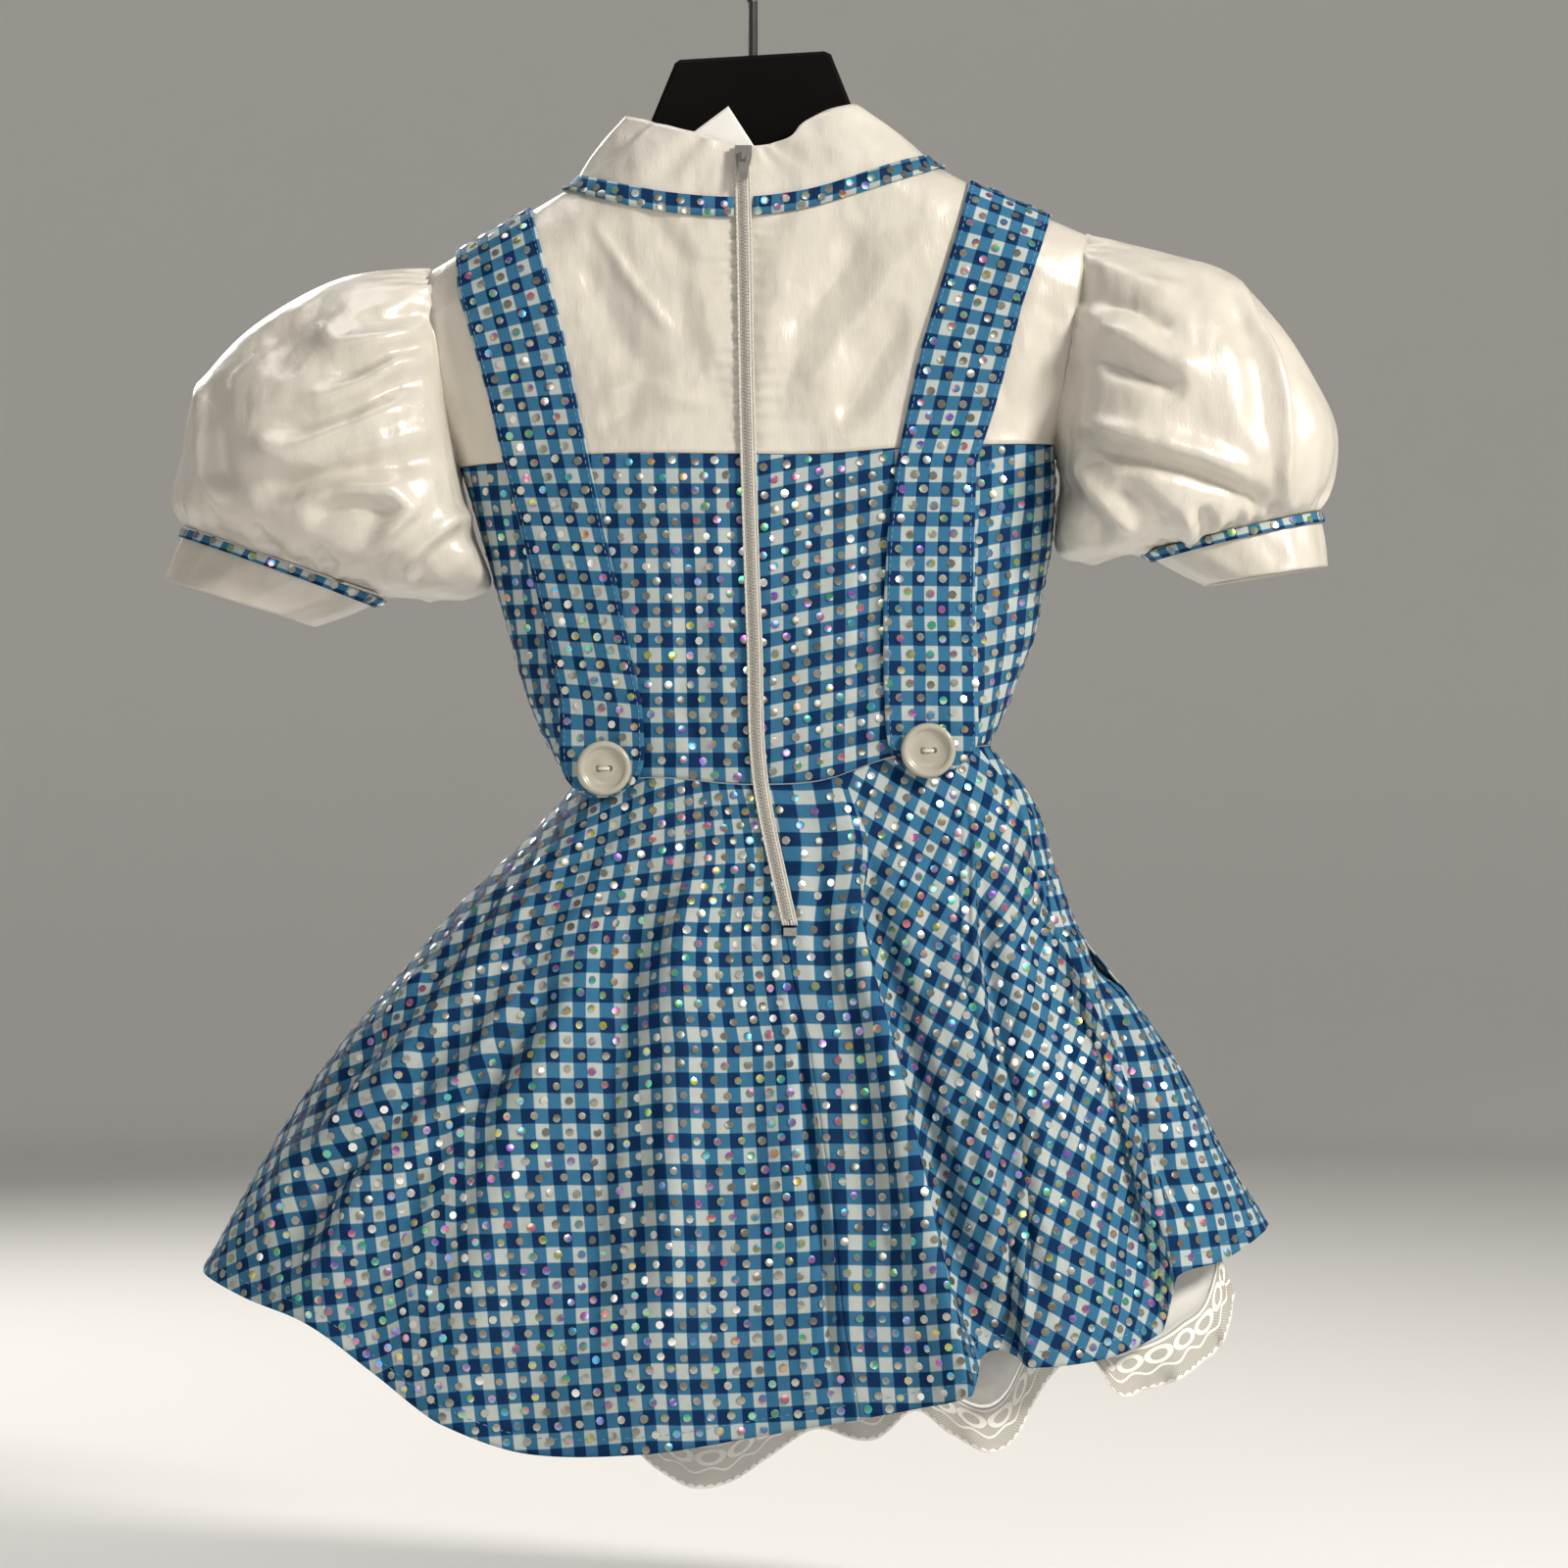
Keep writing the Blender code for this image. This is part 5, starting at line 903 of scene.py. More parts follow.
# The steps of one repeat across and down in the photograph's pixels, then the creases as on the blouse
BODICE_STEPS = {-1: ((25, 0), (1, 30)), 1: ((25, -5), (0, 29))}
BODICE_CREASES = {
    -1: (
        (-1.8, 5, (700, 490), (704, 600), (698, 780)), (1.6, 5, (740, 500), (728, 620), (744, 760)),
        (-2.2, 5, (500, 500), (540, 620), (566, 760)),
    ),
    1: (
        (-1.8, 6, (800, 620), (850, 590), (900, 540)), (1.8, 6, (790, 700), (850, 660), (890, 640)),
        (-2.0, 4, (880, 500), (884, 600), (880, 760)), (-2.2, 5, (1040, 500), (1032, 620), (1014, 750)),
    ),
}
for hand, word in HANDS:
    x, z = bodice_grid(-2.0, 4.0, hand, 76, 80, lambda at, hand=hand: back_x(at, hand))
    grid = fold_cloth(on_torso(x, z, -1, np.zeros(x.shape)), torso_normal(x, z, -1), BODICE_CREASES[hand])
    grid[..., 1] = np.minimum(grid[..., 1], -SEAM_GAP / 2)
    flat = check_uv(place_uv(grid, x), *BODICE_STEPS[hand])
    discs = sew_sequins(f"bodice_back_{word}_sequins", grid, flat, OUT_BACK, 20 + hand)
    piece = sew_piece(f"bodice_back_{word}", "gingham", grid, flat, gingham, OUT_BACK)

x, z = join_halves([bodice_grid(2.0, 8.0, hand, 56, 64) for hand in (-1, 1)])
grid = on_torso(x, z, 1, np.zeros(x.shape))
flat = place_uv(grid, x)
discs = sew_sequins("bodice_front_sequins", grid, flat, OUT_FRONT, 24)
piece = sew_piece("bodice_front", "gingham", grid, flat, gingham, OUT_FRONT)


# Straps: doubled gingham bands with rounded lower ends, from the front chest seam over the
# shoulders to the back waist, stitched along both edges and each held by one button.
STRAP_LEFT = table(
    "left_x left_z right_x right_z",
    (-133, -187, -94, -172), (-126, -210, -86, -202), (-118, -238, -79, -236), (-112, -264, -73, -264),
    (-104, -294, -66, -296), (-97, -321, -60, -323), (-91, -348, -54, -351), (-86, -372, -49, -376),
    (-85, -396, -48, -396),
)
STRAP_RIGHT = table(
    "left_x left_z right_x right_z",
    (93, -158, 130, -168), (85, -184, 122, -192), (76, -212, 116, -216), (70, -240, 109, -240),
    (65, -264, 101, -264), (61, -296, 100, -296), (59, -330, 100, -330), (59, -358, 101, -358),
    (60, -385, 101, -385),
)
STRAP_END_RADIUS, STRAP_FRONT_END = 19.0, -270.0
CREST_DROPS = (0.8, 0.45, 0.2, 0.06)
STRAP_FRONT = (0.12, 0.3, 0.48, 0.66, 0.84, 1.0)
STRAP_OUT = 2.1


def strap_rows(rows, hand):
    """Left and right edge places of each row, with the side they lie on, from the round end up and over."""
    crest = (-135, -101) if hand < 0 else (99, 136)
    crest_z = [float(read(SHOULDER, "x", "z", np.array(float(x)))) for x in crest]
    low, high = rows[-1], rows[0]
    middle, half = (low.left_x + low.right_x) / 2, (low.right_x - low.left_x) / 2
    listed = []
    for step in (0.05, 0.1, 0.2, 0.35, 0.5, 0.65, 0.8):
        reach, down = half * math.sin(step * math.pi / 2), STRAP_END_RADIUS * math.cos(step * math.pi / 2)
        listed.append((middle - reach, low.left_z - down, middle + reach, low.right_z - down, -1))
    listed += [(row.left_x, row.left_z, row.right_x, row.right_z, -1) for row in rows[::-1]]
    for drop in CREST_DROPS:
        ends = [lerp(crest[0], high.left_x, drop), lerp(crest_z[0], high.left_z, drop)]
        ends += [lerp(crest[1], high.right_x, drop), lerp(crest_z[1], high.right_z, drop)]
        listed.append((*ends, -1))
    listed.append((crest[0], crest_z[0], crest[1], crest_z[1], 0))
    depth = [crest_z[0] - high.left_z, crest_z[1] - high.right_z]
    for drop in CREST_DROPS[::-1]:
        listed.append((crest[0], crest_z[0] - depth[0] * drop, crest[1], crest_z[1] - depth[1] * drop, 1))
    for part in STRAP_FRONT:
        left_z, right_z = [lerp(z - deep, STRAP_FRONT_END, part) for z, deep in zip(crest_z, depth)]
        listed.append((crest[0] - 12 * hand * part, left_z, crest[1] - 12 * hand * part, right_z, 1))
    return np.array(listed, float)


def strap_grid(rows, hand, out):
    """The strap's cloth over the torso, in closer rows, its lower end laid flat and proud of the waist."""
    listed = strap_rows(rows, hand)
    crest = int(np.argmin(np.abs(listed[:, 4])))
    fine = []
    for index in range(len(listed) - 1):
        part = np.linspace(0, 1, 8)[:-1]
        part = 1 - (1 - part) ** 2 if index == crest - 1 else part ** 2 if index == crest else part
        fine.append(index + part)
    fine = np.concatenate([*fine, [len(listed) - 1.0]])
    edges = [np.interp(fine, np.arange(len(listed)), listed[:, place]) for place in range(4)]
    across = np.linspace(0, 1, 22)
    x = lerp(edges[0][:, None], edges[2][:, None], across)
    z = lerp(edges[1][:, None], edges[3][:, None], across)
    behind, before = [on_torso(x, z, side, np.full(x.shape, out)) for side in (-1, 1)]
    flat = np.clip((-352 - z) / 40, 0, 1) * 0.9
    middle = on_torso(x.mean(axis=1), z.mean(axis=1), -1, np.full(len(x), out))[:, 1:2]
    proud = 5.0 * np.clip((-380 - z) / 30, 0, 1)
    behind[..., 1] = np.minimum(behind[..., 1], lerp(behind[..., 1], middle, flat)) - proud
    grid = np.where((fine < crest)[:, None, None], behind, before)
    top = np.abs(fine - crest) < 1e-9
    grid[top, :, 1] = 0.0
    grid[top, :, 2] = z[top] + out
    return grid


thread_white, thread_blue = [
    mottled_finish(name, 0.6, 500.0, first, second, (2500.0, 2.0), 0.3, 0.0002, Sheen_Weight=0.2)
    for name, first, second in (
        ("thread_white", (0.74, 0.74, 0.70), (0.60, 0.61, 0.58)),
        ("thread_blue", (0.16, 0.33, 0.50), (0.10, 0.24, 0.40)),
    )
]
# A stitch's corners along, across and up, in its lengths, radii and radii, and the triangles over them
STITCH_SHAPE = np.array([
    (-0.5, 0, 0.0), (-0.25, -1, 0.25), (0.25, -1, 0.25), (0.5, 0, 0.0), (0.25, 1, 0.25), (-0.25, 1, 0.25),
    (-0.25, 0, 1.3), (0.25, 0, 1.3),
])
STITCH_FACES = np.array([(0, 1, 6), (1, 2, 7), (1, 7, 6), (2, 3, 7), (3, 4, 7), (4, 5, 6), (4, 6, 7), (5, 0, 6)])


def sew_stitches(name, path, normal, pitch=3.2, length=2.2, radius=0.18, finish=thread_blue):
    """Short threads along a path: each is a flat six-sided lozenge that rises from the cloth in its middle."""
    steps = np.linalg.norm(np.diff(path, axis=0), axis=1)
    run = np.concatenate([[0], np.cumsum(steps)])
    at = np.arange(pitch, run[-1] - pitch, pitch)
    place = np.stack([np.interp(at, run, path[:, axis]) for axis in range(3)], axis=-1)
    ahead = np.stack([np.interp(at + 0.5, run, path[:, axis]) for axis in range(3)], axis=-1) - place
    out = np.stack([np.interp(at, run, normal[:, axis]) for axis in range(3)], axis=-1)
    ahead /= np.maximum(np.linalg.norm(ahead, axis=1, keepdims=True), 1e-9)
    out /= np.maximum(np.linalg.norm(out, axis=1, keepdims=True), 1e-9)
    over = np.cross(out, ahead)
    along, aside, up = np.split(STITCH_SHAPE[None], 3, axis=-1)
    points = place[:, None] + along * length * ahead[:, None] + aside * radius * over[:, None]
    points = points + (up * radius + 0.1) * out[:, None]
    faces = (STITCH_FACES[None] + np.arange(len(at))[:, None, None] * len(STITCH_SHAPE)).reshape(-1, 3)
    return add_mesh(name, points, faces.tolist(), finish, "gingham")


for (hand, word), rows in zip(HANDS, (STRAP_LEFT, STRAP_RIGHT)):
    grid = strap_grid(rows, hand, STRAP_OUT)
    outward = grid * np.array([0.0, 1.0, 0.0]) + np.array([0.0, 0.0, 1e-3])
    across, down = arc_lengths(grid)
    down = np.broadcast_to(down[:, down.shape[1] // 2, None], down.shape)
    flat = np.stack([across - across[:, -1:] / 2, down], axis=-1) * MM
    normal = grid_normals(grid, False, outward)
    discs = sew_sequins(f"strap_{word}_sequins", grid, flat, outward, 30 + hand)
    lines = [
        sew_stitches(f"strap_{word}_stitches_{side}", grid[4:-2, at], normal[4:-2, at])
        for side, at in (("a", 1), ("b", -2))
    ]
    piece = sew_piece(f"strap_{word}", "gingham", grid, flat, gingham, outward, thick=1.0)


# Buttons: off-white cast plastic, a sunk middle inside a rounded rim, sewn through two holes
# with white thread over the strap's end.
BUTTON_RADIUS = 12.4
BUTTON_PLACES = {-1: (-66.6, -402), 1: (79.2, -394)}
HOLE_STEP, HOLE_RADIUS, HOLE_DEEP = 2.6, 1.1, 1.4
STRAND_POINTS, STRAND_SIDES, STRAND_RADIUS = 9, 6, 0.28
STRAND_OFFSETS = (-0.45, 0.0, 0.45)

button_plastic = mottled_finish(
    "button_plastic", 0.28, 90.0, (0.45, 0.43, 0.36), (0.38, 0.36, 0.30), (300.0,), 0.08, 0.0004,
    Coat_Weight=0.3, Coat_Roughness=0.15,
)

for hand, word in HANDS:
    place = BUTTON_PLACES[hand]
    seat = np.array([place[0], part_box(f"button_{word}")[1][1] / MM, place[1]])
    radius = np.concatenate([np.linspace(0, 8.6, 44), np.linspace(8.6, BUTTON_RADIUS, 20)[1:], [12.2, 11.4]])
    height = curve([0, 7.8, 8.8, 9.8, 11.0, 11.9, BUTTON_RADIUS], [1.55, 1.6, 2.0, 2.9, 3.15, 2.6, 1.5], radius)
    height[-2:] = (0.6, 0.05)
    angle = np.linspace(0, 2 * math.pi, 97)[:-1]
    x, z = radius[:, None] * np.cos(angle), radius[:, None] * np.sin(angle)
    hole = np.minimum(np.hypot(x - HOLE_STEP, z), np.hypot(x + HOLE_STEP, z))
    sunk = np.clip((HOLE_RADIUS + 0.25 - hole) / 0.35, 0, 1)
    y = -(height[:, None] - HOLE_DEEP * sunk)
    grid = np.stack([x, y, z], axis=-1) + seat
    back_ring = list(range(grid[:-1, :, 0].size, grid[..., 0].size))
    faces = [*grid_faces(grid, around=True).tolist(), back_ring]
    piece = add_mesh(f"button_{word}_plastic", grid, faces, button_plastic, "button")
    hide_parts(f"button_{word}")
    bend = np.linspace(0, math.pi, STRAND_POINTS)
    ring = np.linspace(0, 2 * math.pi, STRAND_SIDES + 1)[:-1]
    side = np.stack([0 * ring, np.cos(ring), np.sin(ring)], axis=-1) * STRAND_RADIUS
    strands = []
    for offset in STRAND_OFFSETS:
        path = np.stack([-np.cos(bend) * HOLE_STEP, -1.2 - np.sin(bend) * 1.1, 0 * bend + offset], axis=-1) + seat
        strands.append(path[:, None] + side[None])
    quads = grid_faces(strands[0], around=True)
    faces = np.concatenate([quads + STRAND_POINTS * STRAND_SIDES * strand for strand in range(len(strands))])
    add_mesh(f"button_{word}_thread", np.stack(strands), faces.tolist(), thread_white, "button")


# Skirt: a flared gingham skirt cut as parts of a circle, so that its checks turn as they go round.
# It hangs in soft folds on the left and in three sharp pleats right of the centre back seam.
SKIRT = table(
    "fall left right back front",
    (0.0, -83, 109, 48, 48), (0.10, -102, 127, 54, 54), (0.25, -136, 138, 62, 62), (0.39, -163, 151, 69, 69),
    (0.52, -187, 173, 74, 75), (0.68, -211, 197, 79, 80), (0.86, -235, 218, 84, 85), (1.0, -252, 237, 86, 88),
)
SKIRT_BACK = table(
    "waist mid hem lift hem_z",
    (0.0, 0.0, 0.0, 0, -631), (0.045, 0.045, 0.05, -4, -641), (0.10, 0.095, 0.11, 4, -650),
    (0.15, 0.15, 0.165, -5, -670), (0.21, 0.22, 0.23, 3, -692), (0.27, 0.31, 0.31, -3, -706),
    (0.34, 0.42, 0.42, 4, -705), (0.40, 0.52, 0.52, -2, -698),
    (0.453, 0.60, 0.613, 2, -690), (0.54, 0.66, 0.665, 3, -685), (0.62, 0.708, 0.714, 15, -678),
    (0.645, 0.722, 0.727, -6, -663), (0.75, 0.775, 0.744, -8, -661), (0.86, 0.825, 0.756, -5, -664),
    (0.89, 0.846, 0.767, 9, -668), (0.925, 0.91, 0.84, 6, -665), (0.95, 0.962, 0.893, -5, -655),
    (0.97, 0.976, 0.905, 6, -630), (0.985, 0.988, 0.95, 2, -624), (1.0, 1.0, 1.0, 0, -611),
)
SKIRT_FRONT = table(
    "waist mid hem lift hem_z",
    (0.0, 0.0, 0.0, 0, -631), (0.06, 0.06, 0.06, -5, -637), (0.13, 0.13, 0.12, 5, -645),
    (0.21, 0.20, 0.20, -6, -656), (0.30, 0.29, 0.30, 5, -667), (0.39, 0.39, 0.39, -6, -672),
    (0.47, 0.48, 0.48, 6, -675), (0.56, 0.57, 0.57, -6, -673), (0.65, 0.67, 0.67, 5, -665),
    (0.74, 0.76, 0.76, -6, -652), (0.83, 0.85, 0.85, 5, -637), (0.93, 0.93, 0.93, -4, -621),
    (1.0, 1.0, 1.0, 0, -611),
)
CENTRE_STATION, WAIST_GAP, SKIRT_ROWS = 8, 0.45, 118
# The pleats' hidden lines, by station, and the steps of one repeat on each panel between them, where not fanned
PLEAT_CUTS, PLEAT_STEPS = (10.9, 16.8), (None, ((21, 13), (-12, 27)), ((27, -1), (2, 31)))
# The creases of the back and of the guessed front, as on the blouse
SKIRT_CREASES = {
    -1: (
        (5.5, 6, (555, 986), (505, 1055), (445, 1128)), (-6.0, 6, (578, 994), (530, 1064), (470, 1139)),
        (6.0, 8, (478, 1012), (386, 1112), (313, 1178), (270, 1287)),
        (-6.5, 7.5, (506, 1020), (414, 1126), (342, 1194), (298, 1299)),
        (4.0, 5, (445, 982), (422, 1019), (390, 1060)),
        (5.0, 10, (708, 850), (700, 1000), (690, 1180), (684, 1400)),
        (-6.0, 9, (662, 850), (640, 1000), (618, 1180), (604, 1400)),
        (4.5, 10, (620, 900), (572, 1050), (520, 1220), (480, 1390)),
        (4.0, 7, (842, 850), (905, 1090), (972, 1388)), (-10.5, 6, (874, 850), (938, 1090), (1008, 1396)),
        (3.6, 6, (966, 850), (993, 1090), (1022, 1366)), (-7.5, 5, (994, 856), (1024, 1090), (1056, 1366)),
        (4.0, 6, (1084, 930), (1124, 1080), (1182, 1262)), (-8.0, 5, (1110, 940), (1152, 1080), (1212, 1256)),
        (-5.0, 3.0, (806, 972), (826, 1150), (843, 1290), (850, 1440)),
    ),
    1: (
        (-6.0, 8, (600, 850), (560, 1050), (500, 1380)), (5.0, 8, (636, 850), (612, 1050), (578, 1380)),
        (-5.0, 7, (520, 950), (440, 1100), (330, 1260)), (-5.5, 8, (750, 850), (760, 1100), (772, 1400)),
        (-6.5, 8, (868, 850), (916, 1050), (976, 1380)), (5.0, 9, (930, 850), (1000, 1050), (1090, 1340)),
        (-6.0, 7, (990, 850), (1080, 1080), (1180, 1260)),
    ),
}


def oval_depth(share):
    """How deep the skirt's section is at a share of its width: a squared oval, from 0 to 1."""
    return np.clip(1 - np.abs(2 * share - 1) ** 2.3, 0, 1) ** (1 / 2.3)


def skirt_points(rows, side, station, fall):
    """The waist's own curve let out to each section, with the folds added; half of each fold is kept sharp."""
    order = np.arange(len(rows))
    at = [np.interp(station, order, column(rows, name)) for name in ("waist", "mid", "hem")]
    early = lerp(at[0], at[1], np.clip(fall / 0.4, 0, 1) ** 0.8)
    share = np.where(fall < 0.4, early, lerp(at[1], at[2], np.clip((fall - 0.4) / 0.6, 0, 1)))
    top_x = lerp(WAIST[0].x, WAIST[-1].x, at[0])
    top_z = read(WAIST, "x", "z", top_x) - WAIST_GAP
    left, right = read(SKIRT, "fall", "left", fall), read(SKIRT, "fall", "right", fall)
    name = "back" if side < 0 else "front"
    deep = read(SKIRT, "fall", name, fall) - getattr(SKIRT[0], name)
    z = lerp(top_z, curve(order, column(rows, "hem_z"), station), fall)
    oval = oval_depth(share)
    lift = column(rows, "lift")
    fold = lerp(curve(order, lift, station), np.interp(station, order, lift), 0.5)
    fold = fold * np.maximum(fall, 0) ** 0.7 * np.clip(oval * 3, 0, 1)
    y = torso_depth(top_x, top_z, side) + deep * oval + fold
    return np.stack([lerp(left, right, share), side * np.maximum(y + SEAM_GAP / 2, SEAM_GAP / 2), z], axis=-1)


def fan_uv(grid, start, turn, waist_radius=170.0, hem_radius=460.0):
    """Flat coordinates on the circle the skirt is cut from: its radius grows down the cloth, and its angle is
    the hem's length over the hem's radius, with a turn in degrees for cloth that is hidden in each pleat."""
    across, down = arc_lengths(grid)
    angle = (across[-1] - across[-1, start]) / hem_radius + np.radians(turn)
    radius = waist_radius + down
    return np.stack([radius * np.sin(angle), radius * np.cos(angle)], axis=-1) * MM


# Each part: its word, folds, side, first and last station, columns, seam hand, flat width and area in metres
SKIRT_PARTS = (
    ("back_left", SKIRT_BACK, -1, 0, CENTRE_STATION, 170, -1, 0.40, 0.088),
    ("back_right", SKIRT_BACK, -1, CENTRE_STATION, len(SKIRT_BACK) - 1, 200, 1, 0.33, 0.062),
    ("front", SKIRT_FRONT, 1, 0, len(SKIRT_FRONT) - 1, 200, 0, 0.62, 0.135),
)
for word, rows, side, first, last, count, seam, wide, area in SKIRT_PARTS:
    station, fall = np.broadcast_arrays(
        np.linspace(first, last, count)[None, :], np.linspace(0, 1, SKIRT_ROWS)[:, None],
    )
    out = OUT_BACK if side < 0 else OUT_FRONT
    grid = skirt_points(rows, side, station, fall)
    normal = grid_normals(grid, False, out)
    grid = fold_cloth(grid, normal, SKIRT_CREASES[side])
    sag = 0.8 * np.sin(station * 9.1) * np.sin(fall * 7) + 0.6 * np.sin(station * 5.3 + fall * 11)
    grid = grid + normal * (sag * np.sin(fall * math.pi))[..., None]
    grid[..., 1] = side * np.maximum(side * grid[..., 1], SEAM_GAP / 2)
    edge = -1 if seam < 0 else 0 if seam > 0 else count // 2
    grid[:, edge, 0] += seam * SEAM_GAP / 2
    cuts = [0, *(int(np.searchsorted(station[0], at)) for at in PLEAT_CUTS if seam > 0), count - 1]
    first, last = np.zeros((len(grid), count - 1, 2)), np.zeros((len(grid), count - 1, 2))
    discs = []
    for start, end, steps in zip(cuts[:-1], cuts[1:], PLEAT_STEPS if seam > 0 else (None,)):
        panel = grid[:, start:end + 1]
        flat = check_uv(place_uv(panel, panel[..., 0]), *steps) if steps else fan_uv(panel, edge, 4.0 * abs(seam))
        first[:, start:end], last[:, start:end] = flat[:, :-1], flat[:, 1:]
        seed = 40 + side + seam + 7 * len(discs)
        discs.append(sew_sequins(f"skirt_{word}_sequins_" + "abc"[len(discs)], panel, flat, out, seed))
    line = sew_stitches(f"skirt_{word}_hem_stitches", grid[-4], normal[-4], pitch=3.6, length=2.4)
    piece = sew_piece(f"skirt_{word}", "gingham", grid, first, gingham, out, flat_end=last)


# Underskirt: plain white net, gathered into the waist and seen only below the hem, where its
# edge carries a lace of corded ovals on fine net with a scalloped ruffle.
LACE_EDGE_BACK = table(
    "share z",
    (0.0, -632), (0.15, -660), (0.30, -690), (0.40, -704), (0.43, -716), (0.46, -723), (0.49, -722),
    (0.53, -711), (0.57, -698), (0.63, -702), (0.67, -690), (0.70, -700), (0.765, -701),
    (0.785, -684), (0.845, -670), (0.86, -681), (0.90, -682), (0.95, -673), (0.985, -660), (1.0, -643),
)
LACE_EDGE_FRONT = table("share z", (0.0, -632), (0.2, -668), (0.4, -690), (0.6, -690), (0.8, -668), (1.0, -643))
LACE_DEPTH, LACE_WAVES, LACE_WAVE_HEIGHT, LACE_FLARE = 21.0, 22, 3.4, 0.4
PETTICOAT_DEEP, PETTICOAT_EDGE, PETTICOAT_TOP, PETTICOAT_INSET, PETTICOAT_SIDE = 0.26, 0.958, 0.93, 3.6, 6.0
# The lace's pattern in metres: one repeat, half an oval's width and height, and the pitches of scallops and net
LACE_REPEAT, OVAL_WIDE, OVAL_TALL, SCALLOP_PITCH, NET_PITCH = 0.015, 0.0058, 0.0030, 0.0042, 0.0014
# How far below the lace's upper edge stand its first cord, its ovals, its wavy cord and its scalloped edge
TOP_CORD, OVAL_ROW, WAVY_CORD, SCALLOP_EDGE, HALF_CORD = 0.0016, 0.0068, 0.0128, 0.0203, 0.0006


def petticoat_points(side, share, fall):
    """The underskirt's cloth, inside the skirt's folds: the waist's curve let out to the skirt's sections."""
    room = np.clip(fall * 3, 0, 1)
    higher = fall * (0.9 + 0.1 * (1 - (2 * share - 1) ** 2))
    top_x = lerp(WAIST[0].x, WAIST[-1].x, share)
    top_z = read(WAIST, "x", "z", top_x) - 2.0
    low_z = read(LACE_EDGE_BACK if side < 0 else LACE_EDGE_FRONT, "share", "z", share) + LACE_DEPTH
    name = "back" if side < 0 else "front"
    deep = torso_depth(top_x, top_z, side) * lerp(PETTICOAT_EDGE, PETTICOAT_TOP, np.clip(fall * 7, 0, 1))
    deep = deep + (read(SKIRT, "fall", name, higher) - getattr(SKIRT[0], name)) * oval_depth(share)
    deep = deep * (1 - PETTICOAT_DEEP * room)
    inset = PETTICOAT_INSET + PETTICOAT_SIDE * room
    left, right = read(SKIRT, "fall", "left", higher) + inset, read(SKIRT, "fall", "right", higher) - inset
    y = side * (np.maximum(deep, 0) + SEAM_GAP)
    return np.stack([lerp(left, right, share), y, lerp(top_z, low_z, fall)], axis=-1)


net_white = mottled_finish(
    "net_white", 0.7, 160.0, (0.74, 0.73, 0.70), (0.64, 0.63, 0.61), (900.0, 2.0), 0.3, 0.0006, Alpha=0.86,
)


def lace_finish():
    """Corded lace from flat coordinates: ovals in a row, each an ellipse's outline, with a wavy cord below
    them and fine net between; the cords are solid and raised, and the net lets some of what is behind through."""
    made, tree, shader = new_finish("corded_lace", 0.6, Sheen_Weight=0.2)
    flat = add_node(tree, "ShaderNodeUVMap", uv_map="cloth")
    parts = tree.nodes.new("ShaderNodeSeparateXYZ")
    tree.links.new(flat.outputs["UV"], parts.inputs["Vector"])
    along, down = parts.outputs["X"], parts.outputs["Y"]
    calc = partial(number, tree)

    def distance(first, second):
        return calc("ABSOLUTE", calc("SUBTRACT", first, second))

    repeat = calc("MULTIPLY", along, 1 / LACE_REPEAT)
    wide = calc("MULTIPLY", calc("SUBTRACT", calc("FRACT", repeat), 0.5), LACE_REPEAT / OVAL_WIDE)
    tall = calc("MULTIPLY", calc("SUBTRACT", down, OVAL_ROW), 1 / OVAL_TALL)
    radius = calc("SQRT", calc("ADD", calc("MULTIPLY", wide, wide), calc("MULTIPLY", tall, tall)))
    oval = calc("LESS_THAN", distance(radius, 1.0), 0.27)
    swing = calc("MULTIPLY", calc("COSINE", calc("MULTIPLY", repeat, 2 * math.pi)), 0.0011)
    cord = calc("LESS_THAN", distance(down, calc("ADD", swing, WAVY_CORD)), HALF_CORD)
    top = calc("LESS_THAN", distance(down, TOP_CORD), HALF_CORD)
    scallop = calc("ABSOLUTE", calc("SINE", calc("MULTIPLY", along, math.pi / SCALLOP_PITCH)))
    edge = calc("GREATER_THAN", down, calc("SUBTRACT", SCALLOP_EDGE, calc("MULTIPLY", scallop, 0.0012)))
    cords = calc("MAXIMUM", calc("MAXIMUM", oval, cord), calc("MAXIMUM", top, edge))
    threads = [
        calc("SINE", calc("MULTIPLY", calc(operation, along, down), 2 * math.pi / NET_PITCH))
        for operation in ("ADD", "SUBTRACT")
    ]
    net = calc("GREATER_THAN", calc("MAXIMUM", *threads), 0.45)
    solid = calc("MAXIMUM", cords, calc("ADD", calc("MULTIPLY", net, 0.4), 0.45))
    tree.links.new(solid, shader.inputs["Alpha"])
    # The net is coloured darker than the cords: partly its sparse threads, partly painted shade between the raised
    # cords
    tree.links.new(blend_colour(tree, cords, (0.58, 0.55, 0.49), (1.0, 0.97, 0.91)), shader.inputs["Base Color"])
    relief(tree, shader, calc("ADD", cords, calc("MULTIPLY", net, 0.3)), 1.0, 0.0010)
    return made


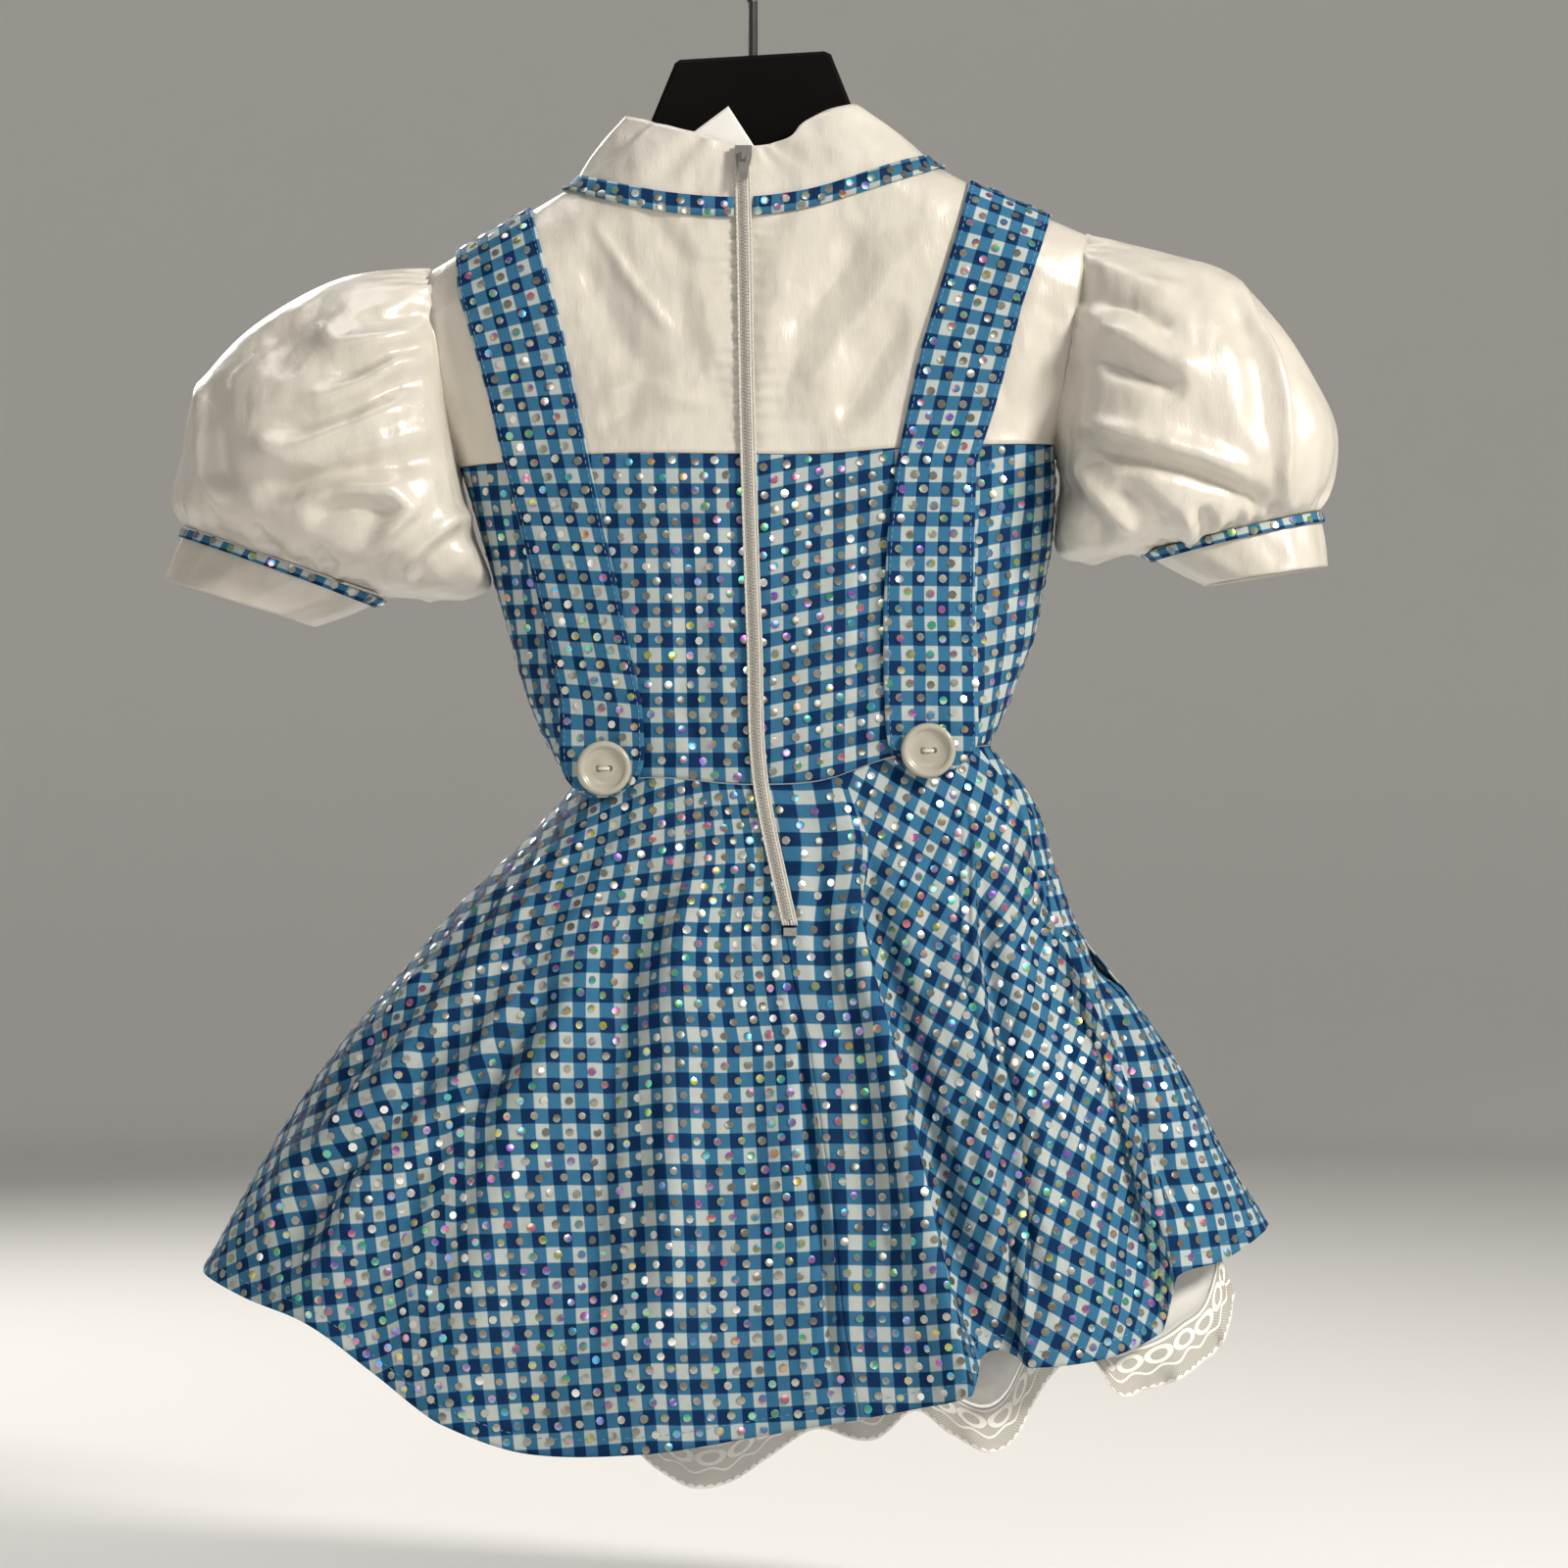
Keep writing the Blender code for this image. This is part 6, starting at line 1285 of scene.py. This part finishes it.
corded_lace = lace_finish()
for side, word, out in ((-1, "back", OUT_BACK), (1, "front", OUT_FRONT)):
    share, fall = np.broadcast_arrays(
        (1 - np.cos(np.linspace(0, math.pi, 150)))[None, :] / 2, np.linspace(0, 1, 34)[:, None],
    )
    grid = petticoat_points(side, share, fall)
    normal = grid_normals(grid, False, out)
    wave = 1.6 * np.sin(share * 190 + np.sin(share * 23)) * np.clip(fall - 0.3, 0, 1)
    wave = wave * np.clip(share * 14, 0, 1) * np.clip((1 - share) * 14, 0, 1) * np.clip((1 - fall) * 12, 0, 1)
    grid = grid + normal * wave[..., None]
    grid[..., 1] = side * np.maximum(side * grid[..., 1], SEAM_GAP / 2)
    piece = sew_piece(f"petticoat_{word}", "net", grid, arc_uv(grid), net_white, out, thick=0.4)
    turn = np.linspace(0, math.pi, LACE_WAVES * 26 + 1)
    lace_share = (1 - np.cos(turn)) / 2
    top = petticoat_points(side, lace_share, np.ones(lace_share.shape))
    low_z = read(LACE_EDGE_BACK if side < 0 else LACE_EDGE_FRONT, "share", "z", lace_share)
    drop = np.linspace(0, 1, 15)[:, None]
    start_z = top[:, 2] - 4 * SEAM_GAP
    height = lerp(start_z, low_z, drop)
    flare = (2 * lace_share - 1) * LACE_FLARE * (start_z - height)
    ends = np.clip(np.sin(turn) * 4, 0, 1)
    wave = LACE_WAVE_HEIGHT * np.sin(turn * LACE_WAVES) * ends * drop
    frill = 0.9 * np.sin(turn * LACE_WAVES * 3.1) * ends * np.clip(drop * 3 - 2, 0, 1)
    y = np.broadcast_to(top[:, 1], height.shape) + side * (wave + frill)
    grid = np.stack([top[:, 0] + flare, side * np.maximum(side * y, SEAM_GAP), height], axis=-1)
    across = arc_lengths(grid)[0]
    flat = np.stack(np.broadcast_arrays(across[len(drop) // 2], drop * LACE_DEPTH), axis=-1) * MM
    piece = sew_piece(f"lace_{word}", "corded", grid, flat, corded_lace, out, slot="lace", thick=0.4)


# Zip: two woven white tapes with a fine nylon coil between them, from the collar's top to below
# the waist, with an enamelled slider at the top, its pull tab, and a bottom stop.
ZIP_TOP, ZIP_END = -119.0, -472.0
TAPE_WIDTH, TAPE_OUT = 3.6, 1.9
COIL_TOP, COIL_PITCH = -134.0, 1.5

zip_tape = mottled_finish(
    "zip_tape", 0.6, 420.0, (0.62, 0.59, 0.53), (0.50, 0.48, 0.43), (1500.0, 2.0, (1.0, 1.0, 0.3)), 0.5, 0.0006,
    Sheen_Weight=0.15,
)
zip_coil = mottled_finish(
    "zip_coil", 0.4, 300.0, (0.46, 0.45, 0.42), (0.36, 0.36, 0.34), (900.0, 2.0), 0.15, 0.0003,
)
zip_enamel = mottled_finish(
    "zip_enamel", 0.26, 500.0, (0.62, 0.61, 0.57), (0.30, 0.30, 0.29), (1200.0, 2.0), 0.1, 0.0002,
    metal=0.8, worn=("POWER", 2.0), Coat_Weight=0.3, Coat_Roughness=0.15,
)


def centre_point(z, x, out):
    """A place over the centre back, on collar, torso or skirt, whichever carries the zip at that height."""
    z, x = np.asarray(z, float), np.asarray(x, float)
    torso = torso_depth(x, np.clip(z, WAIST[2].z, -150), -1)
    lean = np.clip((z + 150) / 32, 0, 1)
    collar = torso * lerp(1, COLLAR_LEAN, lean) + COLLAR_ROLL * np.sin(lean * math.pi)
    fall = np.clip((z - WAIST[2].z) / (-690 - WAIST[2].z), 0, 1)
    skirt = -skirt_points(SKIRT_BACK, -1, np.full(fall.shape, float(CENTRE_STATION)), fall)[..., 1]
    deep = np.where(z > -150, collar, np.where(z < WAIST[2].z, skirt, torso))
    return np.stack([x, -(deep + out), z], axis=-1)


z = np.linspace(ZIP_TOP, ZIP_END, 180)
middle = read(CENTRE_BACK, "z", "x", z)
for hand, word in HANDS:
    across = np.linspace(0, 1, 25)
    x = middle[:, None] + hand * lerp(0.15, TAPE_WIDTH, across)[None, :]
    height = np.broadcast_to(z[:, None], x.shape)
    lift = (TAPE_OUT + 0.55 * np.abs(np.sin(across * math.pi * 3)) * (1 - 0.5 * across))[None, :]
    grid = centre_point(height, x, lift)
    piece = sew_piece(f"zip_tape_{word}", "woven", grid, arc_uv(grid), zip_tape, OUT_BACK, slot="zip_tape")
    # The coil's rungs: blocks open at the back, whose tops are smaller and stand 0.45 mm further out
    rung = np.arange(COIL_TOP, ZIP_END + 3, -COIL_PITCH) - (COIL_PITCH / 2 if hand > 0 else 0)
    centre = read(CENTRE_BACK, "z", "x", rung) + hand * 0.75
    base = centre_point(rung, centre, TAPE_OUT + 0.45)
    shape = np.array([(sx * 0.95, -0.30 if sx * hand < 0 else 0.0, sz * 0.38) for sx in (-1, 1) for sz in (-1, 1)])
    raised = shape * np.array([0.8, 1.0, 0.55]) + np.array([0.0, -0.45, 0.0])
    points = np.concatenate([base[:, None] + shape, base[:, None] + raised], axis=1)
    block = np.array([(4, 5, 7, 6), (0, 1, 5, 4), (2, 6, 7, 3), (0, 4, 6, 2), (1, 3, 7, 5)])
    faces = (block[None] + np.arange(len(rung))[:, None, None] * points.shape[1]).reshape(-1, 4)
    add_mesh(f"zip_coil_{word}", points, faces.tolist(), zip_coil, "zip_tape", smooth=False)
    normal = np.broadcast_to(OUT_BACK, grid[:, -3].shape)
    sew_stitches(f"zip_stitches_{word}", grid[:, -3], normal, pitch=2.6, length=1.8, finish=thread_white)

for node in ("zip_slider", "zip_pull_tab", "zip_bottom_stop"):
    paint_solid(node, zip_enamel)


# Label: a blank woven corner that stands up behind the collar's left half at the centre back.
label_woven = mottled_finish(
    "label_woven", 0.55, 130.0, (0.80, 0.79, 0.77), (0.70, 0.69, 0.67), (1300.0, 2.0), 0.3, 0.0004,
    Sheen_Weight=0.2,
)

corner, first, second = np.array([-11.0, -100.0]), np.array([-28.0, -113.0]), np.array([3.0, -122.0])
a, b = np.meshgrid(np.linspace(0, 1, 18), np.linspace(0, 1, 18), indexing="ij")
spot = corner + (first - corner) * a[..., None] + (second - corner) * b[..., None]
deep = 20.5 + (spot[..., 1] + 118) * -0.16
curl = 0.5 * np.sin(a * 2.4) * np.sin(b * 2.8)
grid = np.stack([spot[..., 0], -deep + 0.9 - curl, spot[..., 1]], axis=-1)
piece = sew_piece("neck_label", "woven", grid, arc_uv(grid), label_woven, OUT_BACK, slot="satin", thick=0.5)


# Studio: a pale floor that curves up far away on every side, large soft lights, and the camera
# level with the dress's middle, straight behind its back.
FLOOR_DROP = 800.0
profile = table("radius height", (0, 0), (2600, 0), (3400, 60), (4200, 500), (4800, 1500), (5000, 3200))
turn = np.linspace(0, 2 * math.pi, 65)[:-1]
run = np.linspace(0, 1, 40)
knots = np.linspace(0, 1, len(profile))
radius, height = [curve(knots, column(profile, name), run)[:, None] for name in ("radius", "height")]
grid = np.stack([radius * np.cos(turn), radius * np.sin(turn), height + 0 * turn - FLOOR_DROP], axis=-1)
floor_pale = new_finish("floor_pale", 0.8, Base_Color=(0.86, 0.855, 0.84, 1.0))[0]
add_mesh("studio_floor", grid, grid_faces(grid, around=True)[:, ::-1].tolist(), floor_pale)

world = bpy.data.worlds.new("studio_air")
world.use_nodes = True
world.node_tree.nodes["Background"].inputs["Color"].default_value = (1.0, 0.985, 0.96, 1.0)
world.node_tree.nodes["Background"].inputs["Strength"].default_value = 0.13
bpy.context.scene.world = world
bpy.context.scene.view_settings.view_transform = "Standard"


LIGHT_AIM = np.array([0.0, 0.0, -0.4])


def soft_light(name, place, size, power, colour):
    """An area light at a place, turned to the dress's middle; both in metres."""
    lamp = bpy.data.lights.new(name, "AREA")
    lamp.size = size
    lamp.energy = power
    lamp.color = colour
    made = bpy.data.objects.new(name, lamp)
    bpy.context.scene.collection.objects.link(made)
    away = np.array(place, float) - LIGHT_AIM
    away /= np.linalg.norm(away)
    made.location = place
    made.rotation_euler = (math.acos(np.clip(away[2], -1, 1)), 0.0, math.atan2(away[0], -away[1]))


soft_light("key_light", (1.75, -1.2, 0.85), 0.45, 62.0, (1.0, 0.95, 0.87))
soft_light("fill_light", (-1.6, -1.5, -0.1), 1.2, 4.0, (1.0, 0.98, 0.95))
soft_light("camera_light", (0.1, -2.6, 0.5), 0.6, 5.0, (1.0, 0.96, 0.90))
soft_light("top_light", (-0.3, 0.1, 1.2), 0.9, 7.0, (1.0, 0.98, 0.95))
soft_light("front_light", (-0.9, 1.7, 0.6), 0.8, 22.0, (1.0, 0.97, 0.92))

CAMERA_DISTANCE, CAMERA_HEIGHT, CAMERA_X, VIEW_WIDTH, SENSOR_WIDTH = 2.3, -0.409, 0.0144, 0.720, 36.0
eye = bpy.data.cameras.new("photo_camera")
eye.sensor_fit = "HORIZONTAL"
eye.sensor_width = SENSOR_WIDTH
eye.lens = SENSOR_WIDTH * CAMERA_DISTANCE / VIEW_WIDTH
eye.clip_start = 0.05
eye.clip_end = 40.0
camera = bpy.data.objects.new("photo_camera", eye)
camera.location = (CAMERA_X, -CAMERA_DISTANCE, CAMERA_HEIGHT)
camera.rotation_euler = (math.pi / 2, 0.0, 0.0)
bpy.context.scene.collection.objects.link(camera)
bpy.context.scene.camera = camera
